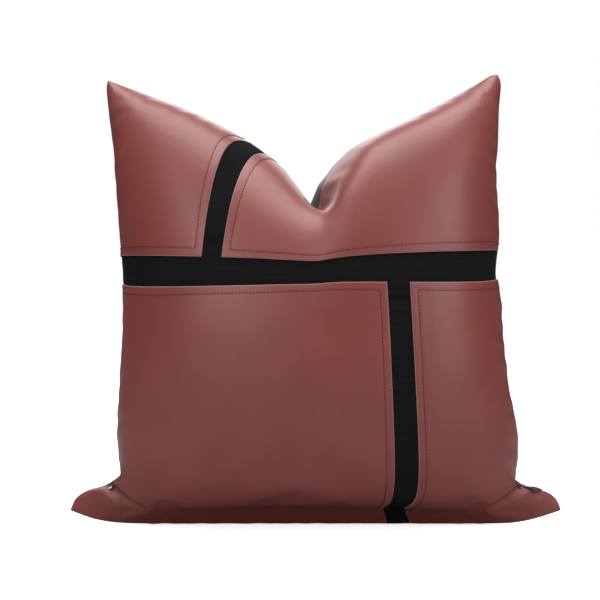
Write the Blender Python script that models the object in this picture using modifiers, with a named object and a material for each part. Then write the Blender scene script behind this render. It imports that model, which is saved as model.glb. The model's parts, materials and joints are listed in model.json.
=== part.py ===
"""Square scatter cushion standing on its bottom edge, with a dent pressed into its top.

The front is four leather panels top-stitched over black webbing, the back is plain leather
with a zip across it, and inside is a fibre-filled insert. X runs across, +Z is up, the
front faces -Y, and lengths are in metres.

Every sewn part is laid out flat on the cover's pattern, where u runs across and v runs up
from the middle of the cover, and Cushion.place() carries it onto the stuffed shape.
"""

import math

import bmesh
import bpy
import numpy as np
from mathutils import Matrix, Vector

# Flat pattern of the cover
COVER_SIDE = 0.450
BAND_FROM_TOP = 0.176
UPPER_STRAP_FROM_LEFT = 0.133
LOWER_STRAP_FROM_LEFT = 0.304
BAND_SHOWING = 0.0235
UPPER_STRAP_SHOWING = 0.0170
LOWER_STRAP_SHOWING = 0.0195
TAPE_WIDTH = 0.050
STRAP_TUCK = 0.015
STITCH_INSET = 0.007
STITCH_OFF_FLOOR = 0.035
THREAD_WIDTH = 0.0008

# Stuffed shape
THICKNESS = 0.190
HEIGHT = 0.408
WAIST_WIDTH = 0.344
WAIST_HEIGHT = 0.215
HIP_WIDTH = 0.370
TOP_WIDTH = 0.358
SIDE_LEAN = 0.012
BAND_HEIGHT = 0.242
EAR_SPAN = 0.451
EAR_TIP_HEIGHT = 0.013
EAR_HEIGHT = 0.033
EAR_PATTERN = 0.052
SHOULDER_DROP = 0.072
DENT_DEPTH = 0.050
DENT_WIDTH = 0.018
DENT_RADIUS = 0.006
FLOOR_PRESS = 0.006

# Layers, as depths below the leather's outer face
LEATHER_THICKNESS = 0.0010
WEBBING_THICKNESS = 0.0012
LAYER_GAP = 0.0003
CASING_DEPTH = 0.0080
CASING_THICKNESS = 0.0008
FILL_GAP = 0.0008
THREAD_THICKNESS = 0.0005
THREAD_LIFT = 0.0005

# Zip in the back, laid along a level arc
ZIP_FROM_BOTTOM = 0.115
ZIP_LENGTH = 0.340
ZIP_SLOT = 0.014
ZIP_FLAT = 0.018
ZIP_BLEND = 0.040
ZIP_TAPE_THICKNESS = 0.0006
ZIP_TAPE_WIDTH = 0.012
CHAIN_WIDTH = 0.0022
CHAIN_THICKNESS = 0.0024
CHAIN_SPLIT = 0.0014
STOP_LENGTH = 0.003

# Slider and pull
SLIDER_LENGTH = 0.012
SLIDER_WIDTH = 0.0096
SLIDER_PLATE = 0.0011
SLIDER_CLEARANCE = 0.0004
SLIDER_POST = 0.0008
SLIDER_LIP = 0.0009
BRIDGE_SPAN = 0.0034
BRIDGE_WIDTH = 0.0020
BRIDGE_BAR = 0.0008
PULL_LENGTH = 0.024
PULL_WIDTH = 0.0062
PULL_THICKNESS = 0.0010
PULL_PLAY = 0.0004
METAL_EDGE = 0.00018

# Side label
LABEL_WIDTH = 0.018
LABEL_DROP = 0.009
LABEL_FROM_TIP = 0.028
LABEL_THICKNESS = 0.0006
LABEL_LIFT = 0.0012

# Mesh density
FRONT_SPACING = 0.017
BACK_SPACING = 0.019
INSERT_SPACING = 0.027
OUTLINE_STEPS = 90

HALF = COVER_SIDE / 2
FRONT, BACK = -1, 1
SEAM_EASE = 0.17
BAND_EASE = 0.25
EDGE_POWER = 6
HIP_POWER = 1.5
EAR_LIFT_POWER = 8
NORMAL_STEP = 0.004
CORNER_PULL = 1.8
CORNER_STEPS = 8
CORNER_CORE = 0.010
CORNER_FADE = 0.035

BAND_CENTRE = HALF - BAND_FROM_TOP
UPPER_STRAP_CENTRE = -HALF + UPPER_STRAP_FROM_LEFT
LOWER_STRAP_CENTRE = -HALF + LOWER_STRAP_FROM_LEFT
ZIP_LEVEL = -HALF + ZIP_FROM_BOTTOM
WEBBING_DEPTH = LEATHER_THICKNESS + LAYER_GAP
FILL_DEPTH = CASING_DEPTH + CASING_THICKNESS + FILL_GAP


def clear_scene():
    for item in list(bpy.data.objects):
        bpy.data.objects.remove(item, do_unlink=True)


def new_collection(name):
    collection = bpy.data.collections.new(name)
    bpy.context.scene.collection.children.link(collection)
    return collection


def new_material(name, colour, roughness, metallic=0.0):
    material = bpy.data.materials.new(name)
    material.use_nodes = True
    shader = material.node_tree.nodes["Principled BSDF"]
    shader.inputs["Base Color"].default_value = (*colour, 1.0)
    shader.inputs["Roughness"].default_value = roughness
    shader.inputs["Metallic"].default_value = metallic
    return material


def smooth_step(value):
    """0 below 0, 1 above 1, and a smooth rise between."""
    value = min(max(value, 0.0), 1.0)
    return value * value * (3 - 2 * value)


def arc_angle(fraction, ease):
    """The angle round a quarter oval, for a length along it given as -1 to 1."""
    return math.pi / 2 * fraction * (1 - ease + ease * fraction * fraction)


def evenly(points, count):
    """The path through the points, cut into count equal lengths."""
    points = np.asarray(points, float)
    steps = np.linalg.norm(np.diff(points, axis=0), axis=1)
    along = np.concatenate([[0.0], np.cumsum(steps)])
    wanted = np.linspace(0.0, along[-1], count + 1)
    return np.stack([np.interp(wanted, along, axis) for axis in points.T], axis=1)


def leftward(heading):
    """The direction to the left of a heading."""
    return np.array([-heading[1], heading[0]])


class Outline:
    """The closed seam round the cushion, in the XZ plane, and the flat region inside it."""

    def __init__(self):
        side = self.side_path()
        right = [(half - self.lean(z), z + FLOOR_PRESS) for half, z in side]
        left = [(-half - self.lean(z), z + FLOOR_PRESS) for half, z in side]
        self.bottom = evenly(self.bottom_path(), OUTLINE_STEPS)
        self.right = evenly(right, OUTLINE_STEPS)
        self.top = evenly(self.top_path(), OUTLINE_STEPS)
        self.left = evenly(left, OUTLINE_STEPS)

    @staticmethod
    def lean(height):
        return SIDE_LEAN * (height - EAR_TIP_HEIGHT) / (HEIGHT - EAR_TIP_HEIGHT)

    @staticmethod
    def side_path():
        """Half widths and heights from the tip of the bottom ear to the top corner."""
        root, tip = HIP_WIDTH / 2, EAR_SPAN / 2
        path = []
        for angle in np.linspace(0.0, math.pi / 2, 12):
            rise = (EAR_HEIGHT - EAR_TIP_HEIGHT) * math.sin(angle)
            path.append((root + (tip - root) * math.cos(angle), EAR_TIP_HEIGHT + rise))
        waist, top = WAIST_WIDTH / 2, TOP_WIDTH / 2
        for height in np.linspace(EAR_HEIGHT + LAYER_GAP, HEIGHT, 60):
            if height < WAIST_HEIGHT:
                away = (WAIST_HEIGHT - height) / (WAIST_HEIGHT - EAR_HEIGHT)
                path.append((waist + (root - waist) * away**HIP_POWER, height))
            else:
                away = (height - WAIST_HEIGHT) / (HEIGHT - WAIST_HEIGHT)
                path.append((waist + (top - waist) * away**2, height))
        return path

    def top_path(self):
        """The top seam from left to right, sinking towards the dent in the middle."""
        path = []
        for share in np.linspace(-1.0, 1.0, 121):
            across = share * TOP_WIDTH / 2
            reach = math.hypot(across, DENT_RADIUS) - DENT_RADIUS
            height = HEIGHT - SHOULDER_DROP * (1 - abs(share))
            if abs(share) < 1.0:
                height -= DENT_DEPTH * math.exp(-reach / DENT_WIDTH)
            path.append((across - self.lean(height), height + FLOOR_PRESS))
        return path

    @staticmethod
    def bottom_path():
        """The bottom seam from ear to ear, flat but for its rise to the two tips."""
        path = []
        for share in np.linspace(-1.0, 1.0, 121):
            rise = (EAR_TIP_HEIGHT + FLOOR_PRESS) * share**EAR_LIFT_POWER
            path.append((share * EAR_SPAN / 2, rise))
        return path

    def patch(self, across, up):
        """The point of the region inside the seam, for shares 0 to 1 of the way over it."""
        below, above = share_of(self.bottom, across), share_of(self.top, across)
        west, east = share_of(self.left, up), share_of(self.right, up)
        sides = (1 - across) * west + across * east
        ends = (1 - up) * below + up * above
        low = (1 - across) * self.bottom[0] + across * self.bottom[-1]
        high = (1 - across) * self.top[0] + across * self.top[-1]
        return sides + ends - (1 - up) * low - up * high

    def corner_pull(self, right, top):
        """How far a layer's corner draws in from the seam's, for each unit of its depth."""
        level = self.top if top else self.bottom
        upright = self.right if right else self.left
        far = CORNER_STEPS
        along = level[-1 - far] - level[-1] if right else level[far] - level[0]
        beside = upright[-1 - far] - upright[-1] if top else upright[far] - upright[0]
        along, beside = along / np.linalg.norm(along), beside / np.linalg.norm(beside)
        inward_way = along + beside
        inward_way /= np.linalg.norm(inward_way)
        half_sine = math.sqrt((1 - along @ beside) / 2)
        reach = max(1 / half_sine, CORNER_PULL)
        return Vector((inward_way[0], 0.0, inward_way[1])) * reach


def share_of(path, share):
    """The point at a share 0 to 1 of the way along an evenly spaced path."""
    place = min(max(share, 0.0), 1.0) * OUTLINE_STEPS
    index = min(int(place), OUTLINE_STEPS - 1)
    return path[index] + (place - index) * (path[index + 1] - path[index])


class Cushion:
    """The stuffed shape: carries points of the flat pattern to their places in space."""

    def __init__(self):
        self.outline = Outline()
        middle = self.stuffed(0.0, ZIP_LEVEL, BACK)
        above = self.stuffed(0.0, ZIP_LEVEL + ZIP_FLAT, BACK)
        below = self.stuffed(0.0, ZIP_LEVEL - ZIP_FLAT, BACK)
        west = self.stuffed(-ZIP_LENGTH / 2, ZIP_LEVEL, BACK)
        east = self.stuffed(ZIP_LENGTH / 2, ZIP_LEVEL, BACK)
        chord = (east.x - west.x) / 2
        bow = middle.y - (east.y + west.y) / 2
        self.zip_radius = (chord * chord + bow * bow) / (2 * bow)
        self.zip_tilt = math.atan2(above.y - below.y, above.z - below.z)
        self.zip_centre = Vector((middle.x, middle.y - self.zip_radius, middle.z))

    def stuffed(self, u, v, facing):
        """The point of the outer face at (u, v), before the zip's flat strip."""
        across, up = u / HALF, v / HALF
        split = BAND_CENTRE / HALF
        rise = (up - split) / (1 + split) if up < split else (up - split) / (1 - split)
        turn, lift = arc_angle(across, SEAM_EASE), arc_angle(rise, BAND_EASE)
        share_across = (1 + math.sin(turn)) / 2
        band = (BAND_HEIGHT + FLOOR_PRESS) / share_of(self.outline.top, share_across)[1]
        share_up = band + (band if rise < 0 else 1 - band) * math.sin(lift)
        share_across += ((1 + across) / 2 - share_across) * abs(up) ** EDGE_POWER
        share_up += ((1 + up) / 2 - share_up) * abs(across) ** EDGE_POWER
        x, z = self.outline.patch(share_across, share_up)
        bulge = THICKNESS / 2 * math.cos(turn) * math.cos(lift)
        return Vector((x, facing * (LAYER_GAP / 2 + bulge), max(0.0, z - FLOOR_PRESS)))

    def inward(self, u, v, facing):
        """The way into the cushion from its face, drawn towards the middle at the corners."""
        west, east = max(u - NORMAL_STEP, -HALF), min(u + NORMAL_STEP, HALF)
        below, above = max(v - NORMAL_STEP, -HALF), min(v + NORMAL_STEP, HALF)
        across = self.stuffed(east, v, facing) - self.stuffed(west, v, facing)
        up = self.stuffed(u, above, facing) - self.stuffed(u, below, facing)
        normal = across.cross(up).normalized() * facing
        far = math.hypot(HALF - abs(u), HALF - abs(v)) - CORNER_CORE
        away = smooth_step(far / CORNER_FADE)
        return self.outline.corner_pull(u > 0, v > 0).lerp(normal, away)

    def on_zip(self, u, v, depth):
        """The point on the cone that the back follows beside the zip."""
        angle, rise = u / self.zip_radius, v - ZIP_LEVEL
        reach = self.zip_radius + rise * math.sin(self.zip_tilt) - depth * math.cos(self.zip_tilt)
        climb = rise * math.cos(self.zip_tilt) + depth * math.sin(self.zip_tilt)
        offset = Vector((reach * math.sin(angle), reach * math.cos(angle), climb))
        return self.zip_centre + offset

    def place(self, u, v, depth, facing):
        """The point at (u, v) of the pattern on the layer at this depth."""
        point = self.stuffed(u, v, facing) + depth * self.inward(u, v, facing)
        point.y = facing * max(LAYER_GAP / 2, facing * point.y)
        if facing == FRONT:
            return point
        beside = (abs(v - ZIP_LEVEL) - ZIP_FLAT) / ZIP_BLEND
        beyond = (abs(u) - ZIP_LENGTH / 2 - STOP_LENGTH) / (ZIP_BLEND - STOP_LENGTH)
        share = (1 - smooth_step(beside)) * (1 - smooth_step(beyond))
        return point.lerp(self.on_zip(u, v, depth), share)

    def layer(self, depth, facing):
        return lambda u, v: self.place(u, v, depth, facing)

    def zip_layer(self, depth):
        return lambda u, v: self.on_zip(u, v, depth)

    def zip_frame(self, u):
        """Axes at a point of the zip: along it, up the slope, and out of the cover."""
        angle = u / self.zip_radius
        along = Vector((math.cos(angle), -math.sin(angle), 0.0))
        radial = Vector((math.sin(angle), math.cos(angle), 0.0))
        up = Vector((0.0, 0.0, 1.0))
        slope = radial * math.sin(self.zip_tilt) + up * math.cos(self.zip_tilt)
        outward = radial * math.cos(self.zip_tilt) - up * math.sin(self.zip_tilt)
        frame = Matrix((along, slope, outward)).transposed().to_4x4()
        frame.translation = self.on_zip(u, ZIP_LEVEL, 0.0)
        return frame


def lines_between(stops, spacing):
    """The stops, with evenly spaced lines added wherever two lie further apart than spacing."""
    stops = sorted(stops)
    lines = [stops[0]]
    for low, high in zip(stops, stops[1:]):
        count = max(1, math.ceil((high - low) / spacing - 1e-6))
        lines += [low + (high - low) * step / count for step in range(1, count + 1)]
    return lines


def within(lines, low, high):
    """The lines between two limits, with the limits themselves at the ends."""
    inner = [line for line in lines if low + LAYER_GAP < line < high - LAYER_GAP]
    return [low, *inner, high]


def rectangle(columns, rows):
    return [[(u, v) for v in rows] for u in columns]


def ribbon(path, width):
    """A layout that follows a path on the pattern, mitred at its corners."""
    headed = np.diff(np.array(path), axis=0)
    headed /= np.linalg.norm(headed, axis=1, keepdims=True)
    layout = []
    for index, (u, v) in enumerate(path):
        before = leftward(headed[max(index - 1, 0)])
        after = leftward(headed[min(index, len(headed) - 1)])
        across = (before + after) / (1 + before @ after) * width / 2
        layout.append([(u + across[0], v + across[1]), (u - across[0], v - across[1])])
    return layout


def add_object(name, mesh, material, collection, origin=None):
    if origin is not None:
        mesh.transform(Matrix.Translation(-origin))
    mesh.materials.append(material)
    item = bpy.data.objects.new(name, mesh)
    if origin is not None:
        item.location = origin
    collection.objects.link(item)
    return item


def face_outwards(solid):
    """Turns every face of a closed solid outwards."""
    bmesh.ops.recalc_face_normals(solid, faces=solid.faces)
    if solid.calc_volume(signed=True) < 0:
        bmesh.ops.reverse_faces(solid, faces=solid.faces)


def sewn_solid(name, layout, outer, inner, material, collection):
    """A closed solid between two layers, over a layout of pattern points."""
    columns, rows = len(layout) - 1, len(layout[0]) - 1
    grid = bmesh.new()
    bmesh.ops.create_grid(grid, x_segments=columns, y_segments=rows, size=0.5)
    bmesh.ops.triangulate(grid, faces=grid.faces[:], quad_method="FIXED")
    outside = set(grid.verts)
    bmesh.ops.extrude_face_region(grid, geom=grid.faces[:])
    for vert in grid.verts:
        column = round((vert.co.x + 0.5) * columns)
        row = round((vert.co.y + 0.5) * rows)
        u, v = layout[column][row]
        vert.co = outer(u, v) if vert in outside else inner(u, v)
    face_outwards(grid)
    for face in grid.faces:
        face.smooth = True
    mesh = bpy.data.meshes.new(name)
    grid.to_mesh(mesh)
    grid.free()
    return add_object(name, mesh, material, collection)


def block(name, low, high, frame, material, collection, origin=None):
    """A box between two corners given in a frame's own axes."""
    low, high = Vector(low), Vector(high)
    box = bmesh.new()
    bmesh.ops.create_cube(box, size=1.0)
    for vert in box.verts:
        share = vert.co + Vector((0.5, 0.5, 0.5))
        vert.co = frame @ Vector([a + (b - a) * s for a, b, s in zip(low, high, share)])
    face_outwards(box)
    mesh = bpy.data.meshes.new(name)
    box.to_mesh(mesh)
    box.free()
    return add_object(name, mesh, material, collection, origin)


def boolean(item, operation, other):
    modifier = item.modifiers.new(f"{operation.lower()}_{other.name}", "BOOLEAN")
    modifier.operation = operation
    modifier.solver = "EXACT"
    modifier.object = other


def soften_edges(item, width):
    modifier = item.modifiers.new("edge", "BEVEL")
    modifier.width = width
    modifier.segments = 1
    modifier.limit_method = "ANGLE"


def build_front(cushion, leather, webbing, thread, collection):
    """The four leather panels, the webbing that shows between them, and their stitching."""
    show, hidden = BAND_SHOWING / 2, TAPE_WIDTH / 2
    levels = (
        ("upper", HALF, UPPER_STRAP_CENTRE, UPPER_STRAP_SHOWING / 2, HALF - STITCH_INSET, 1),
        ("lower", -HALF, LOWER_STRAP_CENTRE, LOWER_STRAP_SHOWING / 2, -HALF + STITCH_OFF_FLOOR, -1),
    )
    edges = {side * reach for side in (-1, 1) for reach in (HALF, HALF - STITCH_INSET)}
    u_stops, v_stops = set(edges), set(edges)
    for side in (-1, 1):
        v_stops |= {BAND_CENTRE + side * reach for reach in (show, show + STITCH_INSET, hidden)}
        for _, _, strap, opening, _, _ in levels:
            u_stops |= {strap + side * reach for reach in (opening, opening + STITCH_INSET, hidden)}
    u_lines = lines_between(u_stops, FRONT_SPACING)
    v_lines = lines_between(v_stops, FRONT_SPACING)

    outer = cushion.layer(0.0, FRONT)
    inner = cushion.layer(LEATHER_THICKNESS, FRONT)
    over_thread = cushion.layer(-THREAD_LIFT - THREAD_THICKNESS, FRONT)
    under_thread = cushion.layer(-THREAD_LIFT, FRONT)
    for level, edge, strap, opening, seam_end, rising in levels:
        rows = within(v_lines, *sorted((BAND_CENTRE + rising * show, edge)))
        for side, far, way in (("left", -HALF, -1), ("right", HALF, 1)):
            columns = within(u_lines, *sorted((strap + way * opening, far)))
            sewn_solid(f"front_panel_{level}_{side}", rectangle(columns, rows),
                       outer, inner, leather, collection)
            turn_u = strap + way * (opening + STITCH_INSET)
            turn_v = BAND_CENTRE + rising * (show + STITCH_INSET)
            far_end = far - way * STITCH_INSET
            upright = within(v_lines, *sorted((turn_v, seam_end)))
            level_run = within(u_lines, *sorted((turn_u, far_end)))
            upright = upright[::-1] if upright[0] == turn_v else upright
            level_run = level_run if level_run[0] == turn_u else level_run[::-1]
            path = [(turn_u, v) for v in upright] + [(u, turn_v) for u in level_run[1:]]
            sewn_solid(f"topstitch_{level}_{side}", ribbon(path, THREAD_WIDTH),
                       over_thread, under_thread, thread, collection)

    band_outer = cushion.layer(WEBBING_DEPTH, FRONT)
    band_inner = cushion.layer(WEBBING_DEPTH + WEBBING_THICKNESS, FRONT)
    band_rows = within(v_lines, BAND_CENTRE - hidden, BAND_CENTRE + hidden)
    sewn_solid("webbing_band", rectangle(u_lines, band_rows), band_outer, band_inner,
               webbing, collection)

    tucked = WEBBING_THICKNESS + LAYER_GAP
    fall = hidden - show

    def strap_layer(depth, rising):
        def point(u, v):
            past_band = (v - BAND_CENTRE) * rising - hidden - LAYER_GAP
            share = 1 - smooth_step(past_band / fall)
            return cushion.place(u, v, depth + tucked * share, FRONT)
        return point

    for level, edge, strap, _, _, rising in levels:
        start = BAND_CENTRE + rising * (hidden - STRAP_TUCK)
        turns = [BAND_CENTRE + rising * (hidden + LAYER_GAP + fall * step / 3) for step in range(4)]
        rows = within(sorted([*v_lines, *turns]), *sorted((start, edge)))
        columns = within(u_lines, strap - hidden, strap + hidden)
        sewn_solid(f"webbing_{level}_strap", rectangle(columns, rows),
                   strap_layer(WEBBING_DEPTH, rising),
                   strap_layer(WEBBING_DEPTH + WEBBING_THICKNESS, rising), webbing, collection)


def build_back(cushion, leather, collection):
    """The two back panels, which part along the zip and meet again past its ends."""
    zip_end = ZIP_LENGTH / 2 + STOP_LENGTH
    taper_end = zip_end + ZIP_SLOT
    columns = lines_between({-HALF, -taper_end, -zip_end, zip_end, taper_end, HALF}, BACK_SPACING)

    def parting(u):
        open_share = 1 - smooth_step((abs(u) - zip_end) / (taper_end - zip_end))
        return LAYER_GAP / 2 + (ZIP_SLOT / 2 - LAYER_GAP / 2) * open_share

    outer = cushion.layer(0.0, BACK)
    inner = cushion.layer(LEATHER_THICKNESS, BACK)
    for name, edge, rising in (("back_panel_upper", HALF, 1), ("back_panel_lower", -HALF, -1)):
        near = ZIP_LEVEL + rising * ZIP_FLAT
        rest = lines_between({near, edge}, BACK_SPACING)
        if rising < 0:
            rest.reverse()
        layout = [[(u, ZIP_LEVEL + rising * parting(u)), *((u, v) for v in rest)] for u in columns]
        sewn_solid(name, layout, outer, inner, leather, collection)


def build_zip(cushion, fabric, nylon, metal, collection):
    """The tapes, the two rows of teeth and their stops."""
    end = ZIP_LENGTH / 2
    tape_end = end + STOP_LENGTH + LAYER_GAP
    tape_lines = lines_between({-tape_end, tape_end}, FRONT_SPACING)
    chain_lines = lines_between({-end, end}, FRONT_SPACING)
    tape_depth = LEATHER_THICKNESS + LAYER_GAP
    chain_depth = tape_depth + ZIP_TAPE_THICKNESS / 2 - CHAIN_THICKNESS / 2
    near, far = CHAIN_SPLIT / 2, CHAIN_SPLIT / 2 + CHAIN_WIDTH
    tape_outer = cushion.zip_layer(tape_depth)
    tape_inner = cushion.zip_layer(tape_depth + ZIP_TAPE_THICKNESS)
    chain_outer = cushion.zip_layer(chain_depth)
    chain_inner = cushion.zip_layer(chain_depth + CHAIN_THICKNESS)
    for level, rising in (("upper", 1), ("lower", -1)):
        tape_rows = [ZIP_LEVEL + rising * (far + LAYER_GAP + ZIP_TAPE_WIDTH * step)
                     for step in (0, 1)]
        chain_rows = [ZIP_LEVEL + rising * reach for reach in (near, far)]
        sewn_solid(f"zip_tape_{level}", rectangle(tape_lines, tape_rows),
                   tape_outer, tape_inner, fabric, collection)
        sewn_solid(f"zip_chain_{level}", rectangle(chain_lines, chain_rows),
                   chain_outer, chain_inner, nylon, collection)
        stop_columns = [end + LAYER_GAP, end + LAYER_GAP + STOP_LENGTH]
        sewn_solid(f"zip_top_stop_{level}", rectangle(stop_columns, chain_rows),
                   chain_outer, chain_inner, metal, collection)
    stop_columns = [-end - LAYER_GAP - STOP_LENGTH, -end - LAYER_GAP]
    stop_rows = [ZIP_LEVEL - far, ZIP_LEVEL + far]
    sewn_solid("zip_bottom_stop", rectangle(stop_columns, stop_rows),
               chain_outer, chain_inner, metal, collection)


def build_slider(cushion, metal, collection, cutters):
    """The slider, parked against the top stops, and the pull hanging from its bridge."""
    frame = cushion.zip_frame(ZIP_LENGTH / 2 - SLIDER_LENGTH / 2)
    tape_middle = -(LEATHER_THICKNESS + LAYER_GAP + ZIP_TAPE_THICKNESS / 2)
    bore = CHAIN_THICKNESS / 2 + SLIDER_CLEARANCE
    floor, roof = tape_middle - bore, tape_middle + bore
    length, width = SLIDER_LENGTH / 2, SLIDER_WIDTH / 2
    post = SLIDER_POST / 2
    wall = CHAIN_SPLIT / 2 + CHAIN_WIDTH + SLIDER_CLEARANCE
    slot = ZIP_TAPE_THICKNESS / 2 + SLIDER_CLEARANCE
    beyond = SLIDER_LENGTH
    plate_top = roof + SLIDER_PLATE

    body = block("zip_slider", (-length, -width, floor - SLIDER_PLATE), (length, width, plate_top),
                 frame, metal, collection, origin=cushion.zip_centre)
    reach, depth = BRIDGE_SPAN / 2, BRIDGE_WIDTH / 2
    bar_hole = PULL_THICKNESS / math.sqrt(2) + PULL_PLAY / 2
    pivot_height = plate_top + bar_hole
    bridge = block("cut_bridge", (-depth, -reach, plate_top - SLIDER_PLATE / 2),
                   (depth, reach, pivot_height + bar_hole + BRIDGE_BAR), frame, metal, cutters)
    hole = block("cut_bridge_hole", (-beyond, -bar_hole, plate_top),
                 (beyond, bar_hole, pivot_height + bar_hole), frame, metal, cutters)
    boolean(bridge, "DIFFERENCE", hole)
    boolean(body, "UNION", bridge)
    for side, sign in (("upper", 1), ("lower", -1)):
        near, far = sorted((sign * post, sign * wall))
        throat = block(f"cut_throat_{side}", (-beyond, near, floor), (beyond, far, roof),
                       frame, metal, cutters)
        near, far = sorted((sign * (wall - SLIDER_LIP), sign * beyond))
        gap = block(f"cut_tape_{side}", (-beyond, near, tape_middle - slot),
                    (beyond, far, tape_middle + slot), frame, metal, cutters)
        boolean(body, "DIFFERENCE", throat)
        boolean(body, "DIFFERENCE", gap)
    tail = block("cut_tail", (-beyond, -wall + SLIDER_LIP, floor), (0.0, wall - SLIDER_LIP, roof),
                 frame, metal, cutters)
    boolean(body, "DIFFERENCE", tail)
    soften_edges(body, METAL_EDGE)

    pivot = frame @ Vector((0.0, 0.0, pivot_height))
    along = frame.to_3x3() @ Vector((1.0, 0.0, 0.0))
    up = Vector((0.0, 0.0, 1.0))
    hang = Matrix((along, up.cross(along), up)).transposed().to_4x4()
    hang.translation = pivot
    half_width, half_thick = PULL_WIDTH / 2, PULL_THICKNESS / 2
    tab = block("zip_pull", (-half_width, -half_thick, -PULL_LENGTH),
                (half_width, half_thick, half_thick), hang, metal, collection, origin=pivot)
    window_end = bar_hole + BRIDGE_BAR + (BRIDGE_SPAN / 2 - bar_hole) + 2 * PULL_PLAY
    window = block("cut_pull_window", (-depth - PULL_PLAY, -beyond, -window_end),
                   (depth + PULL_PLAY, beyond, -half_thick), hang, metal, cutters)
    boolean(tab, "DIFFERENCE", window)
    soften_edges(tab, METAL_EDGE)


def build_insert(cushion, fabric, fibre, collection):
    """The insert: two casing halves that meet at the seam, and the filling inside them."""
    ear = HALF - EAR_PATTERN
    rows = lines_between({-HALF, -ear, HALF}, INSERT_SPACING)
    columns = lines_between({-HALF, -ear, -DENT_WIDTH, 0.0, DENT_WIDTH, ear, HALF}, INSERT_SPACING)
    layout = rectangle(columns, rows)
    for name, facing in (("insert_casing_front", FRONT), ("insert_casing_back", BACK)):
        sewn_solid(name, layout, cushion.layer(CASING_DEPTH, facing),
                   cushion.layer(CASING_DEPTH + CASING_THICKNESS, facing),
                   fabric, collection)
    sewn_solid("insert_fill", layout, cushion.layer(FILL_DEPTH, FRONT),
               cushion.layer(FILL_DEPTH, BACK), fibre, collection)


def build_label(cushion, fabric, collection):
    """The woven label, caught in the side seam and lying over the front of the right ear."""
    rows = lines_between({-HALF + LABEL_FROM_TIP, -HALF + LABEL_FROM_TIP + LABEL_WIDTH}, LABEL_WIDTH / 3)
    columns = lines_between({HALF - LABEL_DROP, HALF}, LABEL_DROP / 3)
    sewn_solid("side_label", rectangle(columns, rows),
               cushion.layer(-LABEL_LIFT - LABEL_THICKNESS, FRONT),
               cushion.layer(-LABEL_LIFT, FRONT), fabric, collection)


def main():
    clear_scene()
    parts = new_collection("throw_pillow")
    cutters = new_collection("cutters")
    cutters.hide_render = True
    cushion = Cushion()

    build_front(cushion, new_material("leather_red", (0.19, 0.045, 0.04), 0.4),
                new_material("webbing", (0.01, 0.01, 0.01), 0.8),
                new_material("thread", (0.09, 0.02, 0.02), 0.7), parts)
    build_back(cushion, new_material("leather_black", (0.02, 0.02, 0.02), 0.4), parts)
    metal = new_material("zip_metal", (0.35, 0.35, 0.36), 0.3, metallic=1.0)
    build_zip(cushion, new_material("zip_tape", (0.012, 0.012, 0.012), 0.8),
              new_material("zip_nylon", (0.015, 0.015, 0.015), 0.45), metal, parts)
    build_slider(cushion, metal, parts, cutters)
    build_insert(cushion, new_material("insert_fabric", (0.75, 0.75, 0.72), 0.9),
                 new_material("insert_fibre", (0.85, 0.85, 0.85), 1.0), parts)
    build_label(cushion, new_material("label_fabric", (0.01, 0.01, 0.01), 0.7), parts)
    for helper in cutters.objects:
        helper.hide_render = True
        helper.display_type = "WIRE"


main()
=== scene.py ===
"""Looks of a square leather scatter cushion, stood on its bottom edge with a chop in its top.

The cover is laid out on a flat square pattern, u across and v up from its middle. A cloth
simulation stuffs that pattern, and every sewn piece (four front panels over black webbing,
two back panels, the zip, the insert) is then cut from the stuffed surface at its own depth.
Lengths are metres, +Z is up and the front faces -Y.
"""

import json
import logging
import math
from collections.abc import Callable, Sequence
from dataclasses import dataclass, field
from enum import Enum
from functools import partial

import bmesh
import bpy
import numpy as np
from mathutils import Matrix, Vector


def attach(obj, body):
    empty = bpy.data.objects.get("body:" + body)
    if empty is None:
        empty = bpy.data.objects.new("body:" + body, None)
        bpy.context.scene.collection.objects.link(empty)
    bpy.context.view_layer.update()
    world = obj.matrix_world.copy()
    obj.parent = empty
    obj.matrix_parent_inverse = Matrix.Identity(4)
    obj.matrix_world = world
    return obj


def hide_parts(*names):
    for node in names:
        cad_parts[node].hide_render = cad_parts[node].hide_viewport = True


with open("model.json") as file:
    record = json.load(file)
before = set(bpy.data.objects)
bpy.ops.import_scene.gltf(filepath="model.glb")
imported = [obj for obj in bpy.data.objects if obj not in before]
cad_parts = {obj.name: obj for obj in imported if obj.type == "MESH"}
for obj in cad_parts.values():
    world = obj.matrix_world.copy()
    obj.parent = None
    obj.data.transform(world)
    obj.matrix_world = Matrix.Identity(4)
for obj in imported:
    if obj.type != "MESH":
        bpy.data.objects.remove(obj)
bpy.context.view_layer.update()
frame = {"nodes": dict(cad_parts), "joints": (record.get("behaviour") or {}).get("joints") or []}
LOG = logging.getLogger("cushion")

Array = np.ndarray
Colour = tuple[float, float, float]
Point = tuple[float, float, float]
Placer = Callable[[Array, Array], Array]

MM = 0.001
LEVELS = (("upper", 1), ("lower", -1))
CLOSEST_LINES = 5e-5
NEAR_SEAM = (0.0, 0.0005, 0.0010, 0.0015, 0.0022, 0.0034, 0.0055)
ROOT_BODY = "cushion"
PATTERN_UV = "Pattern"


class Facing(Enum):
    """A side of the cover, as the sign of its direction along Y."""

    FRONT = -1
    BACK = 1


class Slot(Enum):
    """The record's material slots."""

    LEATHER_RED = "leather_red"
    LEATHER_BLACK = "leather_black"
    WEBBING = "webbing"
    THREAD = "thread"
    ZIP_TAPE = "zip_tape"
    ZIP_NYLON = "zip_nylon"
    ZIP_METAL = "zip_metal"
    INSERT_FABRIC = "insert_fabric"
    INSERT_FIBRE = "insert_fibre"
    LABEL = "label_fabric"


# ---------------------------------------------------------------- curves and grids


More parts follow.
